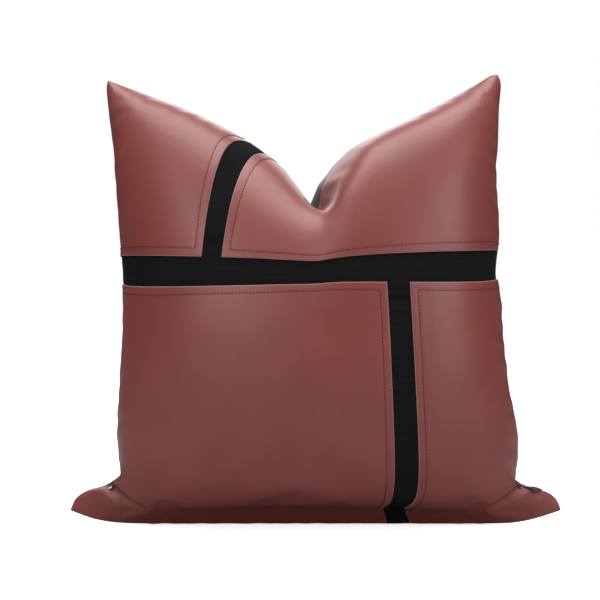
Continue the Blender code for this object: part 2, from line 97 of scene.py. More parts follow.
def smooth_curve(points: Sequence[Point], count: int) -> Array:
    """Runs a smooth curve through points and cuts it into equal lengths.

    Args:
        points: what the curve passes through, in millimetres.
        count: how many equal lengths to cut.

    Returns:
        count + 1 points along the curve, in metres.
    """
    given = np.array(points, float) * MM
    run = np.vstack([2 * given[0] - given[1], given, 2 * given[-1] - given[-2]])
    share = np.linspace(0, 1, 24, endpoint=False)[:, None]
    spans = []
    for before, start, end, after in zip(run, run[1:], run[2:], run[3:]):
        bend = 2 * before - 5 * start + 4 * end - after
        twist = -before + 3 * start - 3 * end + after
        spans.append(start + (share * (end - before) + share**2 * bend + share**3 * twist) / 2)
    curve = np.vstack([*spans, given[-1:]])
    steps = np.linalg.norm(np.diff(curve, axis=0), axis=1)
    along = np.concatenate([[0.0], np.cumsum(steps)])
    wanted = np.linspace(0, along[-1], count + 1)
    return np.stack([np.interp(wanted, along, axis) for axis in curve.T], axis=1)


def along(curve: Array, share: Array) -> Array:
    """Reads points at shares 0 to 1 of the way along an evenly spaced curve."""
    place = np.clip(share, 0, 1) * (len(curve) - 1)
    index = np.minimum(place.astype(int), len(curve) - 2)
    rest = (place - index)[..., None]
    return curve[index] * (1 - rest) + curve[index + 1] * rest


def straight(start: Point, end: Point, bow: float, count: int) -> Array:
    """Makes an evenly spaced line, bowed sideways in X.

    Args:
        start: its first point, in metres.
        end: its last point.
        bow: how far its middle moves along X.
        count: how many lengths it has.

    Returns:
        count + 1 points.
    """
    share = np.linspace(0, 1, count + 1)[:, None]
    line = np.array(start) * (1 - share) + np.array(end) * share
    line[:, 0] += bow * np.sin(np.pi * share[:, 0])
    return line


def coons(left: Array, right: Array, bottom: Array, top: Array, across: Array, up: Array) -> Array:
    """Fills the region between four border curves.

    Args:
        left, right: borders from bottom to top.
        bottom, top: borders from left to right.
        across, up: shares 0 to 1 of the way over the region.

    Returns:
        a point for each pair of shares.
    """
    a, b = across[..., None], up[..., None]
    sides = (1 - a) * along(left, up) + a * along(right, up)
    ends = (1 - b) * along(bottom, across) + b * along(top, across)
    low = (1 - a) * bottom[0] + a * bottom[-1]
    high = (1 - a) * top[0] + a * top[-1]
    return sides + ends - (1 - b) * low - b * high


def smooth_step(value: Array) -> Array:
    """0 below 0, 1 above 1, and a smooth rise between."""
    value = np.clip(value, 0, 1)
    return value * value * (3 - 2 * value)


def unit(vectors: Array) -> Array:
    """Scales vectors to length 1."""
    return vectors / np.maximum(np.linalg.norm(vectors, axis=-1, keepdims=True), 1e-12)


def grid_quads(index: Array) -> Array:
    """Joins a grid of point numbers into quads, four numbers each."""
    quads = np.stack([index[:-1, :-1], index[1:, :-1], index[1:, 1:], index[:-1, 1:]], -1)
    return quads.reshape(-1, 4)


def gathered(reach: float, near: Sequence[float], spacing: float) -> Array:
    """Makes grid lines from 0 that gather there.

    Args:
        reach: the last line.
        near: the lines that lie close to 0.
        spacing: the widest gap between the other lines.

    Returns:
        the lines, rising.
    """
    stops = {0.0, reach, *(line for line in near if line < reach)}
    plain = max(near)
    if reach > plain:
        count = max(1, math.ceil((reach - plain) / spacing))
        stops |= set(np.linspace(plain, reach, count + 1).tolist())
    kept = [0.0]
    for line in sorted(stops)[1:]:
        if line - kept[-1] > CLOSEST_LINES:
            kept.append(line)
    kept[-1] = reach
    return np.array(kept)


def gathered_at_end(reach: float, near: Sequence[float], spacing: float) -> Array:
    """Makes grid lines from 0 that gather at the last one instead."""
    return (reach - gathered(reach, near, spacing))[::-1]


def gathered_at_both(reach: float, near_start: Sequence[float], near_end: Sequence[float],
                     spacing: float) -> Array:
    """Makes grid lines from 0 that gather at both ends, each in its own way."""
    start = gathered(reach, near_start, spacing)
    end = gathered_at_end(reach, near_end, spacing)
    return np.concatenate([start[start < reach / 2], end[end >= reach / 2]])


# ---------------------------------------------------------------- the flat pattern


@dataclass(frozen=True)
class Pattern:
    """Sizes of the cover laid flat."""

    side: float = 0.450
    band_centre: float = 0.049
    band_showing: float = 0.0255
    upper_strap: float = -0.0920
    upper_showing: float = 0.0188
    lower_strap: float = 0.0790
    lower_showing: float = 0.0218
    tape_width: float = 0.050
    stitch_inset: float = 0.007
    zip_level: float = -0.110

    @property
    def half(self) -> float:
        """Half the side of the square."""
        return self.side / 2


@dataclass(frozen=True)
class Seams:
    """Where the seam round the cover runs once stuffed: points in millimetres, x, y, z."""

    left: tuple[Point, ...] = (
        (-225.5, 0, 13), (-220, 0, 25), (-207, 1, 33), (-192, 3, 33), (-181, 5, 27),
        (-177, 4, 40), (-179, 2, 60), (-181, 0, 80), (-179, 0, 114), (-175, 0, 165),
        (-174, 0, 195), (-176, 0, 224), (-178, 0, 261), (-182, 0, 305), (-185, 0, 343),
        (-189, 0, 371), (-192, 0, 398), (-190.5, 0, 408),
    )
    right: tuple[Point, ...] = (
        (225.5, 0, 13), (222, 0, 23), (212, 1, 31), (197, 3, 33), (187, 5, 27),
        (184, 4, 40), (186, 2, 60), (186, 0, 80), (183, 0, 98), (178, 0, 118),
        (174, 0, 146), (171.5, 0, 169), (169, 0, 206), (165, 0, 229), (168, 0, 262),
        (167, 0, 288), (165, 0, 325), (167, 0, 343), (168.5, 0, 380), (170.5, 0, 403),
        (167, 0, 413),
    )
    bottom: tuple[Point, ...] = (
        (-225.5, 0, 13), (-197, 0, 4), (-160, 0, 1), (-80, 0, 1), (0, 0, 1), (80, 0, 1),
        (160, 0, 1), (192, 0, 3.5), (225.5, 0, 13),
    )
    top: tuple[Point, ...] = (
        (-190.5, 0, 408), (-150, 1, 393), (-105, 3, 375), (-68, 8, 356), (-45, 12, 341),
        (-30, 13, 325), (-19, 11, 306), (-12, 6, 290), (-4, -3, 282), (2, -10, 291),
        (5, -13, 308), (15, -13, 325), (31, -10, 343), (56, -5, 357), (94, -2, 375),
        (138, 0, 399), (160, 0, 412), (167, 0, 413),
    )


@dataclass
class ZipArc:
    """The cone strip that the zip follows, read from the frame's slider joint and tapes."""

    length: float = 0.340
    stop_length: float = 0.003
    flat: float = 0.018
    blend: float = 0.040
    blend_below: float = 0.006
    tape_middle: float = 0.0016
    centre: Vector = field(init=False)
    radius: float = field(init=False)
    tilt: float = field(init=False)

    def __post_init__(self) -> None:
        """Fits the cone's slope and radius to the CAD tapes."""
        joint = next(j for j in frame["joints"] if j["name"] == "zip_travel")
        self.centre = Vector(joint["pos_m"])
        tapes = []
        for level in ("upper", "lower"):
            mesh = frame["nodes"][f"zip_tape_{level}"].data
            tapes.append(np.array([vert.co for vert in mesh.vertices]))
        spots = np.unique(np.round(np.vstack(tapes), 6), axis=0)
        reach = np.hypot(spots[:, 0] - self.centre.x, spots[:, 1] - self.centre.y)
        slope, level = np.polyfit(spots[:, 2] - self.centre.z, reach, 1)
        self.tilt = math.atan(slope)
        self.radius = level + self.tape_middle / math.cos(self.tilt)

    def place(self, u: Array, rise: Array, depth: float | Array) -> Array:
        """Finds points on the strip.

        Args:
            u: distance along the zip.
            rise: distance up the slope from its middle.
            depth: distance below the cover's outer face.

        Returns:
            a point for each pair.
        """
        angle = u / self.radius
        reach = self.radius + rise * math.sin(self.tilt) - depth * math.cos(self.tilt)
        climb = rise * math.cos(self.tilt) + depth * math.sin(self.tilt)
        return np.stack([self.centre.x + reach * np.sin(angle),
                         self.centre.y + reach * np.cos(angle),
                         self.centre.z + climb], axis=-1)

    def share(self, u: Array, rise: Array) -> Array:
        """How firmly the cover follows the strip, 1 beside the zip and 0 well away from it."""
        beside = (np.abs(rise) - self.flat) / self.blend
        beyond = (np.abs(u) - self.length / 2 - self.stop_length) / self.blend
        return (1 - smooth_step(beside)) * (1 - smooth_step(beyond))

    def hold(self, u: Array, rise: Array) -> Array:
        """The same share for the settled cover, which leaves the strip at once below it."""
        below = 1 - smooth_step((-rise - self.flat) / self.blend_below)
        return self.share(u, rise) * np.where(rise < 0, below, 1.0)


# ---------------------------------------------------------------- the stuffed cover


def new_object(name: str, data: bpy.types.ID) -> bpy.types.Object:
    """Puts a mesh, lamp or camera in the scene."""
    item = bpy.data.objects.new(name, data)
    bpy.context.scene.collection.objects.link(item)
    return item


def plane_mesh(name: str, half: float) -> bpy.types.Mesh:
    """Makes a level square plane through the origin."""
    mesh = bpy.data.meshes.new(name)
    plane = bmesh.new()
    bmesh.ops.create_grid(plane, x_segments=1, y_segments=1, size=half)
    plane.to_mesh(mesh)
    plane.free()
    return mesh


@dataclass(frozen=True)
class ClothSettings:
    """How the cover's leather behaves while it is stuffed."""

    frames: int = 34
    quality: int = 8
    vertex_mass: float = 1e-4
    pressure: float = 6.0
    tension: float = 60.0
    shear: float = 20.0
    bending: float = 5.0
    damping: float = 5.0
    bending_damping: float = 0.5
    upright_ease: float = 0.95
    chop_ease: float = 0.10
    chop_reach: float = 0.40
    skin: float = 0.001
    least_pin: float = 0.02


@dataclass
class Cover:
    """The stuffed surface that all the sewn pieces are cut from."""

    pattern: Pattern
    seams: Seams
    zip_arc: ZipArc
    cloth: ClothSettings = field(default_factory=ClothSettings)
    cells: int = 72
    bulge: float = 0.086
    seam_ease: float = 0.17
    waist: float = 0.012
    root: float = 0.185
    shoulder_drop: float = 0.062
    shoulder_round: float = 0.04
    chop_fade: float = 0.45
    chop_slant: float = 0.30
    chop_width: float = 0.050
    groove: float = 0.0009
    groove_reach: float = 0.0012
    seam_gap: float = 0.00015
    pucker: float = 0.0004
    pucker_reach: float = 0.010
    pucker_count: int = 7
    pucker_rates: tuple[float, float] = (140, 420)
    probe: float = 0.0008
    band_height: float = 0.231
    band_climb: float = 0.005
    band_smoothing: int = 6
    climb_from: float = -0.2
    strap_lean: float = 0.021
    lean_reach: float = 0.095
    lean_bend: float = 0.2
    lower_lean: float = 0.0045
    heel_drop: float = 0.052
    heel_reach: float = 0.056
    heel_blend: float = 0.008
    heel_half_width: float = 0.145
    heel_fade: float = 0.045
    foot_pinch: float = 0.045
    foot_share: float = 0.25
    ear_root: tuple[float, float] = (0.225, -0.170)
    crease_end: tuple[float, float] = (0.168, -0.212)
    crease_width: float = 0.0065
    crease_depth: float = 0.0075
    crease_fade: float = 0.45
    right_crease: float = 0.6
    ear_middle: tuple[float, float] = (0.203, -0.204)
    ear_plump: float = 0.0035
    ear_reach: float = 0.016
    ear_edge: float = 0.25
    seed: int = 7
    grids: dict[Facing, Array] = field(init=False)
    slide: Array = field(init=False)

    def __post_init__(self) -> None:
        """Stuffs the cover."""
        self.grids = self.first_shape()
        self.grids = self.stuff(self.grids)
        self.tuck_under()
        middle = (self.grids[Facing.FRONT] + self.grids[Facing.BACK]) / 2
        self.padded = {side: self.with_margin(grid) for side, grid in self.grids.items()}
        self.middle = self.with_margin(middle)
        self.slide = self.level_band()
        random = np.random.default_rng(self.seed)
        self.pucker_waves = [(random.uniform(*self.pucker_rates), random.uniform(0, 2 * math.pi))
                             for _ in range(self.pucker_count)]

    def ease(self, share: Array) -> Array:
        """Bunches even shares towards both ends, as pattern lines lie on a bulging cover."""
        turn = 2 * share - 1
        bent = turn * (1 - self.seam_ease + self.seam_ease * turn**2)
        return (1 + np.sin(np.pi / 2 * bent)) / 2

    def first_shape(self) -> dict[Facing, Array]:
        """Builds the smooth shape that the simulation starts from.

        Returns:
            a grid of points for each side of the cover.
        """
        n = self.cells
        share = np.linspace(0, 1, n + 1)
        a, b = np.meshgrid(share, share, indexing="ij")
        across, rise = 2 * a - 1, 2 * b - 1
        left, right = smooth_curve(self.seams.left, n), smooth_curve(self.seams.right, n)
        bottom, top = smooth_curve(self.seams.bottom, n), smooth_curve(self.seams.top, n)

        near_end, near_side = np.abs(rise) ** 6, np.abs(across) ** 6
        eased_a = self.ease(a) * (1 - near_end) + a * near_end
        eased_b = self.ease(b) * (1 - near_side) + b * near_side
        root, foot = self.root, bottom[n // 2, 2]
        plain_left = straight((-root, 0, left[0, 2]), left[-1], self.waist, n)
        plain_right = straight((root, 0, right[0, 2]), right[-1], -self.waist, n)
        plain_bottom = straight((-root, 0, foot), (root, 0, foot), 0, n)
        broad_top = straight(top[0], top[-1], 0, n)
        blunt = self.shoulder_round
        dip = (1 - np.sqrt((2 * share - 1) ** 2 + blunt)) / (1 - math.sqrt(blunt))
        broad_top[:, 2] -= self.shoulder_drop * dip
        shape = coons(plain_left, plain_right, plain_bottom, broad_top, eased_a, eased_b)
        fade = np.exp(-((1 - rise) / self.chop_fade) ** 1.5)
        aligned = eased_a * (1 - fade) + a * fade
        shape += (along(top, a) - along(broad_top, aligned)) * fade[..., None]
        seamed = coons(left, right, bottom, top, eased_a, eased_b)
        aligned = eased_a * (1 - eased_b) + a * eased_b
        seamed += (along(top, a) - along(top, aligned)) * fade[..., None]
        hold = np.maximum(np.abs(across) ** 10, np.maximum(-rise, 0) ** 30)[..., None]
        shape = shape * (1 - hold) + seamed * hold
        shape[:, -1], shape[:, 0], shape[0], shape[-1] = top, bottom, left, right

        swell = np.sqrt(np.clip(np.cos(np.pi / 2 * across) * np.cos(np.pi / 2 * rise), 0, 1))
        notch = top[np.argmin(top[n // 4:3 * n // 4, 2]) + n // 4]
        grids = {}
        for side in Facing:
            grid = shape.copy()
            grid[..., 1] += side.value * self.bulge * swell
            away = (grid[..., 0] - notch[0]) / self.chop_width
            slant = -self.chop_slant * self.bulge * side.value * swell
            grid[..., 0] += slant * np.exp(-away**2) * fade * (1 - hold[..., 0])
            if side is Facing.BACK:
                u = across * self.pattern.half
                level = rise * self.pattern.half - self.pattern.zip_level
                firm = self.zip_arc.share(u, level)[..., None]
                grid = grid * (1 - firm) + self.zip_arc.place(u, level, 0.0) * firm
            grid[..., 2] = np.maximum(grid[..., 2], foot)
            grids[side] = grid
        return grids

    def stuff(self, grids: dict[Facing, Array]) -> dict[Facing, Array]:
        """Lets the cover settle under the pressure of its filling.

        Args:
            grids: the first shape.

        Returns:
            the settled shape.
        """
        n, cloth = self.cells, self.cloth
        front = np.arange((n + 1) ** 2).reshape(n + 1, n + 1)
        inner = np.arange((n - 1) ** 2).reshape(n - 1, n - 1) + front.size
        back = front.copy()
        back[1:-1, 1:-1] = inner
        points = np.vstack([grids[Facing.FRONT].reshape(-1, 3),
                            grids[Facing.BACK][1:-1, 1:-1].reshape(-1, 3)])
        faces = grid_quads(front).tolist() + grid_quads(back)[:, ::-1].tolist()
        mesh = bpy.data.meshes.new("stuffing")
        mesh.from_pydata(points.tolist(), [], faces)
        sack = new_object("stuffing", mesh)
        sack.shape_key_add(name="Basis")
        flat = sack.shape_key_add(name="flat")
        flat.data.foreach_set("co", self.flat_points(front, inner.size).ravel())
        flat.value = 0
        pins = sack.vertex_groups.new(name="seams")
        share = np.linspace(-1, 1, n + 1) * self.pattern.half
        u, v = np.meshgrid(share, share, indexing="ij")
        firm = self.zip_arc.share(u, v - self.pattern.zip_level) ** 2
        firm[0], firm[-1], firm[:, 0], firm[:, -1] = 1, 1, 1, 1
        for vertex, weight in zip(back.ravel().tolist(), firm.ravel().tolist()):
            if weight > cloth.least_pin:
                pins.add([vertex], weight, "REPLACE")

        modifier = sack.modifiers.new("stuff", "CLOTH")
        setup = modifier.settings
        setup.quality = cloth.quality
        setup.mass = cloth.vertex_mass
        setup.tension_stiffness = setup.compression_stiffness = cloth.tension
        setup.shear_stiffness, setup.bending_stiffness = cloth.shear, cloth.bending
        setup.tension_damping = setup.compression_damping = setup.shear_damping = cloth.damping
        setup.bending_damping = cloth.bending_damping
        setup.use_pressure, setup.uniform_pressure_force = True, cloth.pressure
        setup.rest_shape_key = flat
        setup.vertex_group_mass = pins.name
        setup.effector_weights.gravity = 0
        modifier.collision_settings.distance_min = cloth.skin
        modifier.point_cache.frame_start = 1
        modifier.point_cache.frame_end = cloth.frames
        ground = self.ground()
        scene = bpy.context.scene
        for step in range(1, cloth.frames + 1):
            scene.frame_set(step)
        settled = sack.evaluated_get(bpy.context.evaluated_depsgraph_get())
        moved = np.empty(len(points) * 3, np.float32)
        settled.data.vertices.foreach_get("co", moved)
        moved = moved.reshape(-1, 3).astype(float)
        scene.frame_set(1)
        for helper in (sack, ground):
            bpy.data.objects.remove(helper, do_unlink=True)
        LOG.info("cover stuffed in %d steps", cloth.frames)
        return {Facing.FRONT: moved[front], Facing.BACK: moved[back]}

    def flat_points(self, front: Array, inner_count: int) -> Array:
        """Lays the cover's points out flat, as cut, for the simulation's lengths.

        Args:
            front: the grid of the front's point numbers.
            inner_count: how many points the back has to itself.

        Returns:
            one flat point for each point of the cover.
        """
        n = len(front) - 1
        share = np.linspace(-1, 1, n + 1)
        u, v = np.meshgrid(share, share, indexing="ij")
        pinch = self.cloth.chop_ease * np.exp(-(u / self.cloth.chop_reach) ** 2)
        upright = v * (self.cloth.upright_ease - pinch)
        half = self.pattern.half
        layer = np.stack([u * half, np.zeros_like(u), (upright + 1) * half], -1)
        front_layer, back_layer = layer.copy(), layer.copy()
        front_layer[1:-1, 1:-1, 1] = -self.cloth.skin / 2
        back_layer[..., 1] = self.cloth.skin / 2
        inner = back_layer[1:-1, 1:-1].reshape(-1, 3)
        assert len(inner) == inner_count
        return np.vstack([front_layer.reshape(-1, 3), inner])

    def ground(self) -> bpy.types.Object:
        """Makes the plane that the cover rests on while it is stuffed."""
        ground = new_object("rest_plane", plane_mesh("rest_plane", self.pattern.side))
        ground.modifiers.new("collision", "COLLISION")
        ground.collision.thickness_outer = self.cloth.skin
        return ground

    def tuck_under(self) -> None:
        """Rounds the back below the zip down to the floor and under to the bottom seam."""
        arc, grid = self.zip_arc, self.grids[Facing.BACK]
        places = np.linspace(-self.pattern.half, self.pattern.half, self.cells + 1)
        u, v = np.meshgrid(places, places, indexing="ij")
        edge = self.pattern.zip_level - arc.flat
        share = np.clip((edge - v) / (edge + self.pattern.half), 0, 1)[..., None]
        start = arc.place(u, np.full_like(u, -arc.flat), 0.0)
        down = unit(start - arc.place(u, np.full_like(u, MM - arc.flat), 0.0))
        end = np.broadcast_to(grid[:, :1], grid.shape)
        backward = np.array([0.0, self.heel_reach, 0.0])
        first = start + down * self.heel_drop
        second = end + backward * (1 - (u[..., None] / self.pattern.half) ** 2)
        curve = ((1 - share) ** 3 * start + 3 * (1 - share) ** 2 * share * first
                 + 3 * (1 - share) * share**2 * second + share**3 * end)
        curve[..., 2] = np.maximum(curve[..., 2], self.cloth.skin)
        wide = 1 - smooth_step((np.abs(u) - self.heel_half_width) / self.heel_fade)
        low = smooth_step((edge - v + self.heel_blend / 2) / self.heel_blend)
        hold = (wide * low)[..., None]
        self.grids[Facing.BACK] = grid * (1 - hold) + curve * hold

    @staticmethod
    def with_margin(grid: Array) -> Array:
        """Adds one line beyond each border, so that curves can be read up to it."""
        grid = np.concatenate([2 * grid[:1] - grid[1:2], grid, 2 * grid[-1:] - grid[-2:-1]], 0)
        low, high = 2 * grid[:, :1] - grid[:, 1:2], 2 * grid[:, -1:] - grid[:, -2:-1]
        return np.concatenate([low, grid, high], 1)

    def read(self, grid: Array, u: Array, v: Array) -> Array:
        """Reads a smooth surface through a grid.

        Args:
            grid: points with a margin of one line.
            u, v: places on the pattern, kept inside it.

        Returns:
            a point for each place.
        """
        total = 0.0
        weights, starts = [], []
        for place in (u, v):
            x = np.clip(place / self.pattern.side + 0.5, 0, 1) * self.cells
            start = np.minimum(x.astype(int), self.cells - 1)
            f = x - start
            starts.append(start)
            weights.append(((-f + 2 * f**2 - f**3) / 2, (2 - 5 * f**2 + 3 * f**3) / 2,
                            (f + 4 * f**2 - 3 * f**3) / 2, (-f**2 + f**3) / 2))
        for i, along_u in enumerate(weights[0]):
            for j, along_v in enumerate(weights[1]):
                spot = grid[starts[0] + i, starts[1] + j]
                total = total + spot * (along_u * along_v)[..., None]
        return total

    def level_band(self) -> Array:
        """Finds how far the front must slide up or down for its band to run level.

        Returns:
            the slide at each line of the grid.
        """
        front = self.grids[Facing.FRONT]
        share = np.linspace(-1, 1, self.cells + 1)
        levels = share * self.pattern.half
        climb = smooth_step((share - self.climb_from) / (1 - self.climb_from))
        wanted = self.band_height + self.band_climb * climb
        middle = slice(self.cells // 4, -self.cells // 12)
        found = [np.interp(height, column[middle, 2], levels[middle])
                 for height, column in zip(wanted, front)]
        slide = np.array(found) - self.pattern.band_centre
        for _ in range(self.band_smoothing):
            slide[1:-1] = (slide[:-2] + 2 * slide[1:-1] + slide[2:]) / 4
        return slide

    def on_grid(self, u: Array, v: Array, side: Facing) -> tuple[Array, Array]:
        """Finds where a place lies on the grid, as the front slides over its filling.

        Args:
            u, v: places on the pattern.
            side: front or back.

        Returns:
            the places on the grid.
        """
        if side is Facing.BACK:
            return u, v
        half, band = self.pattern.half, self.pattern.band_centre
        above, below = (v - band) / (half - band), (band - v) / (band + half)
        near = 1 - smooth_step(np.maximum(above, below))
        climbed = np.clip(above, 0, 1)
        lean = (1 - self.lean_bend) * climbed + self.lean_bend * climbed**2
        away = (u - self.pattern.upper_strap) / self.lean_reach
        window = np.exp(-away**2) * (1 - (u / half) ** 2)
        low = (-v - (1 - self.foot_share) * half) / (self.foot_share * half)
        foot = self.foot_pinch * smooth_step(low)
        lines = np.linspace(-half, half, self.cells + 1)
        slide = np.interp(u, lines, self.slide)
        across = u * (1 - foot * (1 - (u / half) ** 4)) + self.strap_lean * lean * window
        away = (u - self.pattern.lower_strap) / self.lean_reach
        across += self.lower_lean * near * np.exp(-away**2) * (1 - (u / half) ** 2)
        return across, v + slide * near

    def ear_creases(self, u: Array, v: Array) -> Array:
        """How far the leather sinks at each ear's root, less how far the ear stands out."""
        root, end = np.array(self.ear_root), np.array(self.crease_end)
        run = end - root
        place = np.stack([np.abs(u), v], -1) - root
        share = np.clip(place @ run / (run @ run), 0, 1)
        off = np.linalg.norm(place - share[..., None] * run, axis=-1)
        faded = smooth_step((share - (1 - self.crease_fade)) / self.crease_fade)
        strength = np.where(u < 0, 1.0, self.right_crease) * (1 - faded)
        sunk = self.crease_depth * strength * np.exp(-(off / self.crease_width) ** 2)
        away = np.hypot(np.abs(u) - self.ear_middle[0], v - self.ear_middle[1])
        from_seam = 1 - np.maximum(np.abs(u), np.abs(v)) / self.pattern.half
        inside = np.clip(from_seam / self.ear_edge, 0, 1)
        return sunk - self.ear_plump * np.exp(-(away / self.ear_reach) ** 2) * inside

    def puckers(self, u: Array, v: Array) -> Array:
        """How far the seam's gathers lift the leather, strongest a little way from the seam."""
        half = self.pattern.half
        off_side, off_end = np.maximum(half - np.abs(u), 0), np.maximum(half - np.abs(v), 0)
        near = np.minimum(off_side, off_end) / self.pucker_reach
        run = np.where(off_side < off_end, v + np.sign(u), u + 2 * np.sign(v))
        ripple = sum(np.sin(rate * run + phase) for rate, phase in self.pucker_waves)
        return self.pucker * ripple / 3 * near * np.exp(1 - near)

    def outer(self, u: Array, v: Array, side: Facing) -> Array:
        """Finds the leather's outer face, which turns in at the seams as sewn leather does.

        Args:
            u, v: places on the grid.
            side: front or back.

        Returns:
            a point for each place.
        """
        half, step = self.pattern.half, 2 * self.probe
        point = self.read(self.padded[side], u, v)
        if side is Facing.BACK:
            rise = v - self.pattern.zip_level
            firm = self.zip_arc.hold(u, rise)[..., None]
            point = point * (1 - firm) + self.zip_arc.place(u, rise, 0.0) * firm
        cu, cv = np.clip(u, -half + step, half - step), np.clip(v, -half + step, half - step)
        way_u = unit(self.read(self.middle, cu + step, v) - self.read(self.middle, cu - step, v))
        way_v = unit(self.read(self.middle, u, cv + step) - self.read(self.middle, u, cv - step))
        tucked = np.zeros_like(u)
        for place, way in ((u, way_u), (v, way_v)):
            tuck = np.exp(-((half - np.abs(place)) / self.groove_reach) ** 2)
            point = point - (np.sign(place) * self.groove * tuck)[..., None] * way
            tucked = np.maximum(tucked, tuck)
        point[..., 1] += side.value * self.seam_gap * tucked
        point[..., 2] = np.maximum(point[..., 2], self.cloth.skin / 2)
        return point

    def outward(self, u: Array, v: Array, side: Facing) -> Array:
        """Finds which way the outer face looks at each place of the pattern."""
        return self.facing(*self.on_grid(u, v, side), side)

    def facing(self, u: Array, v: Array, side: Facing) -> Array:
        """Finds which way the outer face looks at each place of the grid."""
        limit, step = self.pattern.half, self.probe
        low_u, high_u = np.maximum(u - step, -limit), np.minimum(u + step, limit)
        low_v, high_v = np.maximum(v - step, -limit), np.minimum(v + step, limit)
        across = self.outer(high_u, v, side) - self.outer(low_u, v, side)
        up = self.outer(u, high_v, side) - self.outer(u, low_v, side)
        return unit(np.cross(across, up)) * -side.value

    def layer(self, u: Array, v: Array, depth: float | Array, side: Facing) -> Array:
        """Finds points below the outer face that never pass the middle of the cushion.

        Args:
            u, v: places on the pattern.
            depth: how far below, or above where it is negative.
            side: front or back.

        Returns:
            a point for each place.
        """
        u, v = self.on_grid(u, v, side)
        other = Facing.BACK if side is Facing.FRONT else Facing.FRONT
        gap = self.read(self.padded[other], u, v) - self.read(self.padded[side], u, v)
        room = np.linalg.norm(gap, axis=-1) / 2 + 1e-6
        creases = self.ear_creases(u, v) if side is Facing.FRONT else np.zeros_like(u)
        depth = np.asarray(depth, float) + creases
        held = np.where(depth > 0, depth / (1 + np.maximum(depth, 0) / room), depth)
        lift = self.puckers(u, v) - held
        return self.outer(u, v, side) + self.facing(u, v, side) * lift[..., None]


def at_depth(cover: Cover, depth: float, side: Facing) -> Placer:
    """Makes the placer of a face that lies at one depth all over."""
    return lambda u, v: cover.layer(u, v, depth, side)


# ---------------------------------------------------------------- meshes of sewn pieces


def sewn_piece(name: str, u: Array, v: Array, outer: Placer, inner: Placer,
               facing: Facing) -> bpy.types.Object:
    """Makes a closed sheet between two faces laid over a grid of pattern places.

    Args:
        name: the piece's name.
        u, v: the grid's places, both of one shape.
        outer, inner: carry places to the two faces.
        facing: the side of the cover the outer face looks to.

    Returns:
        the piece, whose faces run outer, inner, then walls.
    """
    across, up = u.shape
    index = np.arange(u.size).reshape(across, up)
    quads = grid_quads(index)
    ring = np.concatenate([index[:-1, 0], index[-1, :-1], index[:0:-1, -1], index[0, :0:-1]])
    ahead = np.roll(ring, -1)
    walls = np.stack([ahead, ring, ring + u.size, ahead + u.size], -1)
    faces = np.vstack([quads, quads[:, ::-1] + u.size, walls])
    rising = (u[-1, 0] - u[0, 0]) * (v[0, -1] - v[0, 0]) * -facing.value > 0
    if not rising:
        faces = faces[:, ::-1]
    points = np.vstack([outer(u, v).reshape(-1, 3), inner(u, v).reshape(-1, 3)])
    mesh = bpy.data.meshes.new(name)
    mesh.from_pydata(points.tolist(), [], faces.tolist())
    places = np.tile(np.stack([u.ravel(), v.ravel()], -1), (2, 1))
    layer = mesh.uv_layers.new(name=PATTERN_UV)
    corners = np.empty(len(mesh.loops), np.int32)
    mesh.loops.foreach_get("vertex_index", corners)
    layer.data.foreach_set("uv", places[corners].astype(np.float32).ravel())
    mesh.shade_smooth()
    mesh.set_sharp_from_angle(angle=math.radians(50))
    return new_object(name, mesh)


def mark_faces(piece: bpy.types.Object, chosen: Array, material: bpy.types.Material) -> None:
    """Gives chosen faces another material."""
    piece.data.materials.append(material)
    number = len(piece.data.materials) - 1
    held = np.zeros(len(piece.data.polygons), np.int32)
    piece.data.polygons.foreach_get("material_index", held)
    held[chosen] = number
    piece.data.polygons.foreach_set("material_index", held)


def point_attribute(mesh: bpy.types.Mesh, name: str, values: Array, kind: str) -> None:
    """Stores a value for each point of a mesh."""
    field_name = "vector" if kind == "FLOAT_VECTOR" else "value"
    layer = mesh.attributes.new(name, kind, "POINT")
    layer.data.foreach_set(field_name, np.asarray(values, np.float32).ravel())


def path_piece(name: str, points: Array, normals: Array) -> bpy.types.Object:
    """Makes a line of edges that carries the surface's direction at each point."""
    mesh = bpy.data.meshes.new(name)
    steps = [(i, i + 1) for i in range(len(points) - 1)]
    mesh.from_pydata(points.tolist(), steps, [])
    point_attribute(mesh, "surface_normal", normals, "FLOAT_VECTOR")
    return new_object(name, mesh)


def finish_piece(piece: bpy.types.Object, nodes: Sequence[str]) -> bpy.types.Object:
    """Rides a piece on the cushion and lets it stand for its CAD nodes."""
    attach(piece, ROOT_BODY)
    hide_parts(*nodes)
    LOG.info("%s: %d faces, stands for %s", piece.name, len(piece.data.polygons),
             ", ".join(nodes))
    return piece


# ---------------------------------------------------------------- node trees


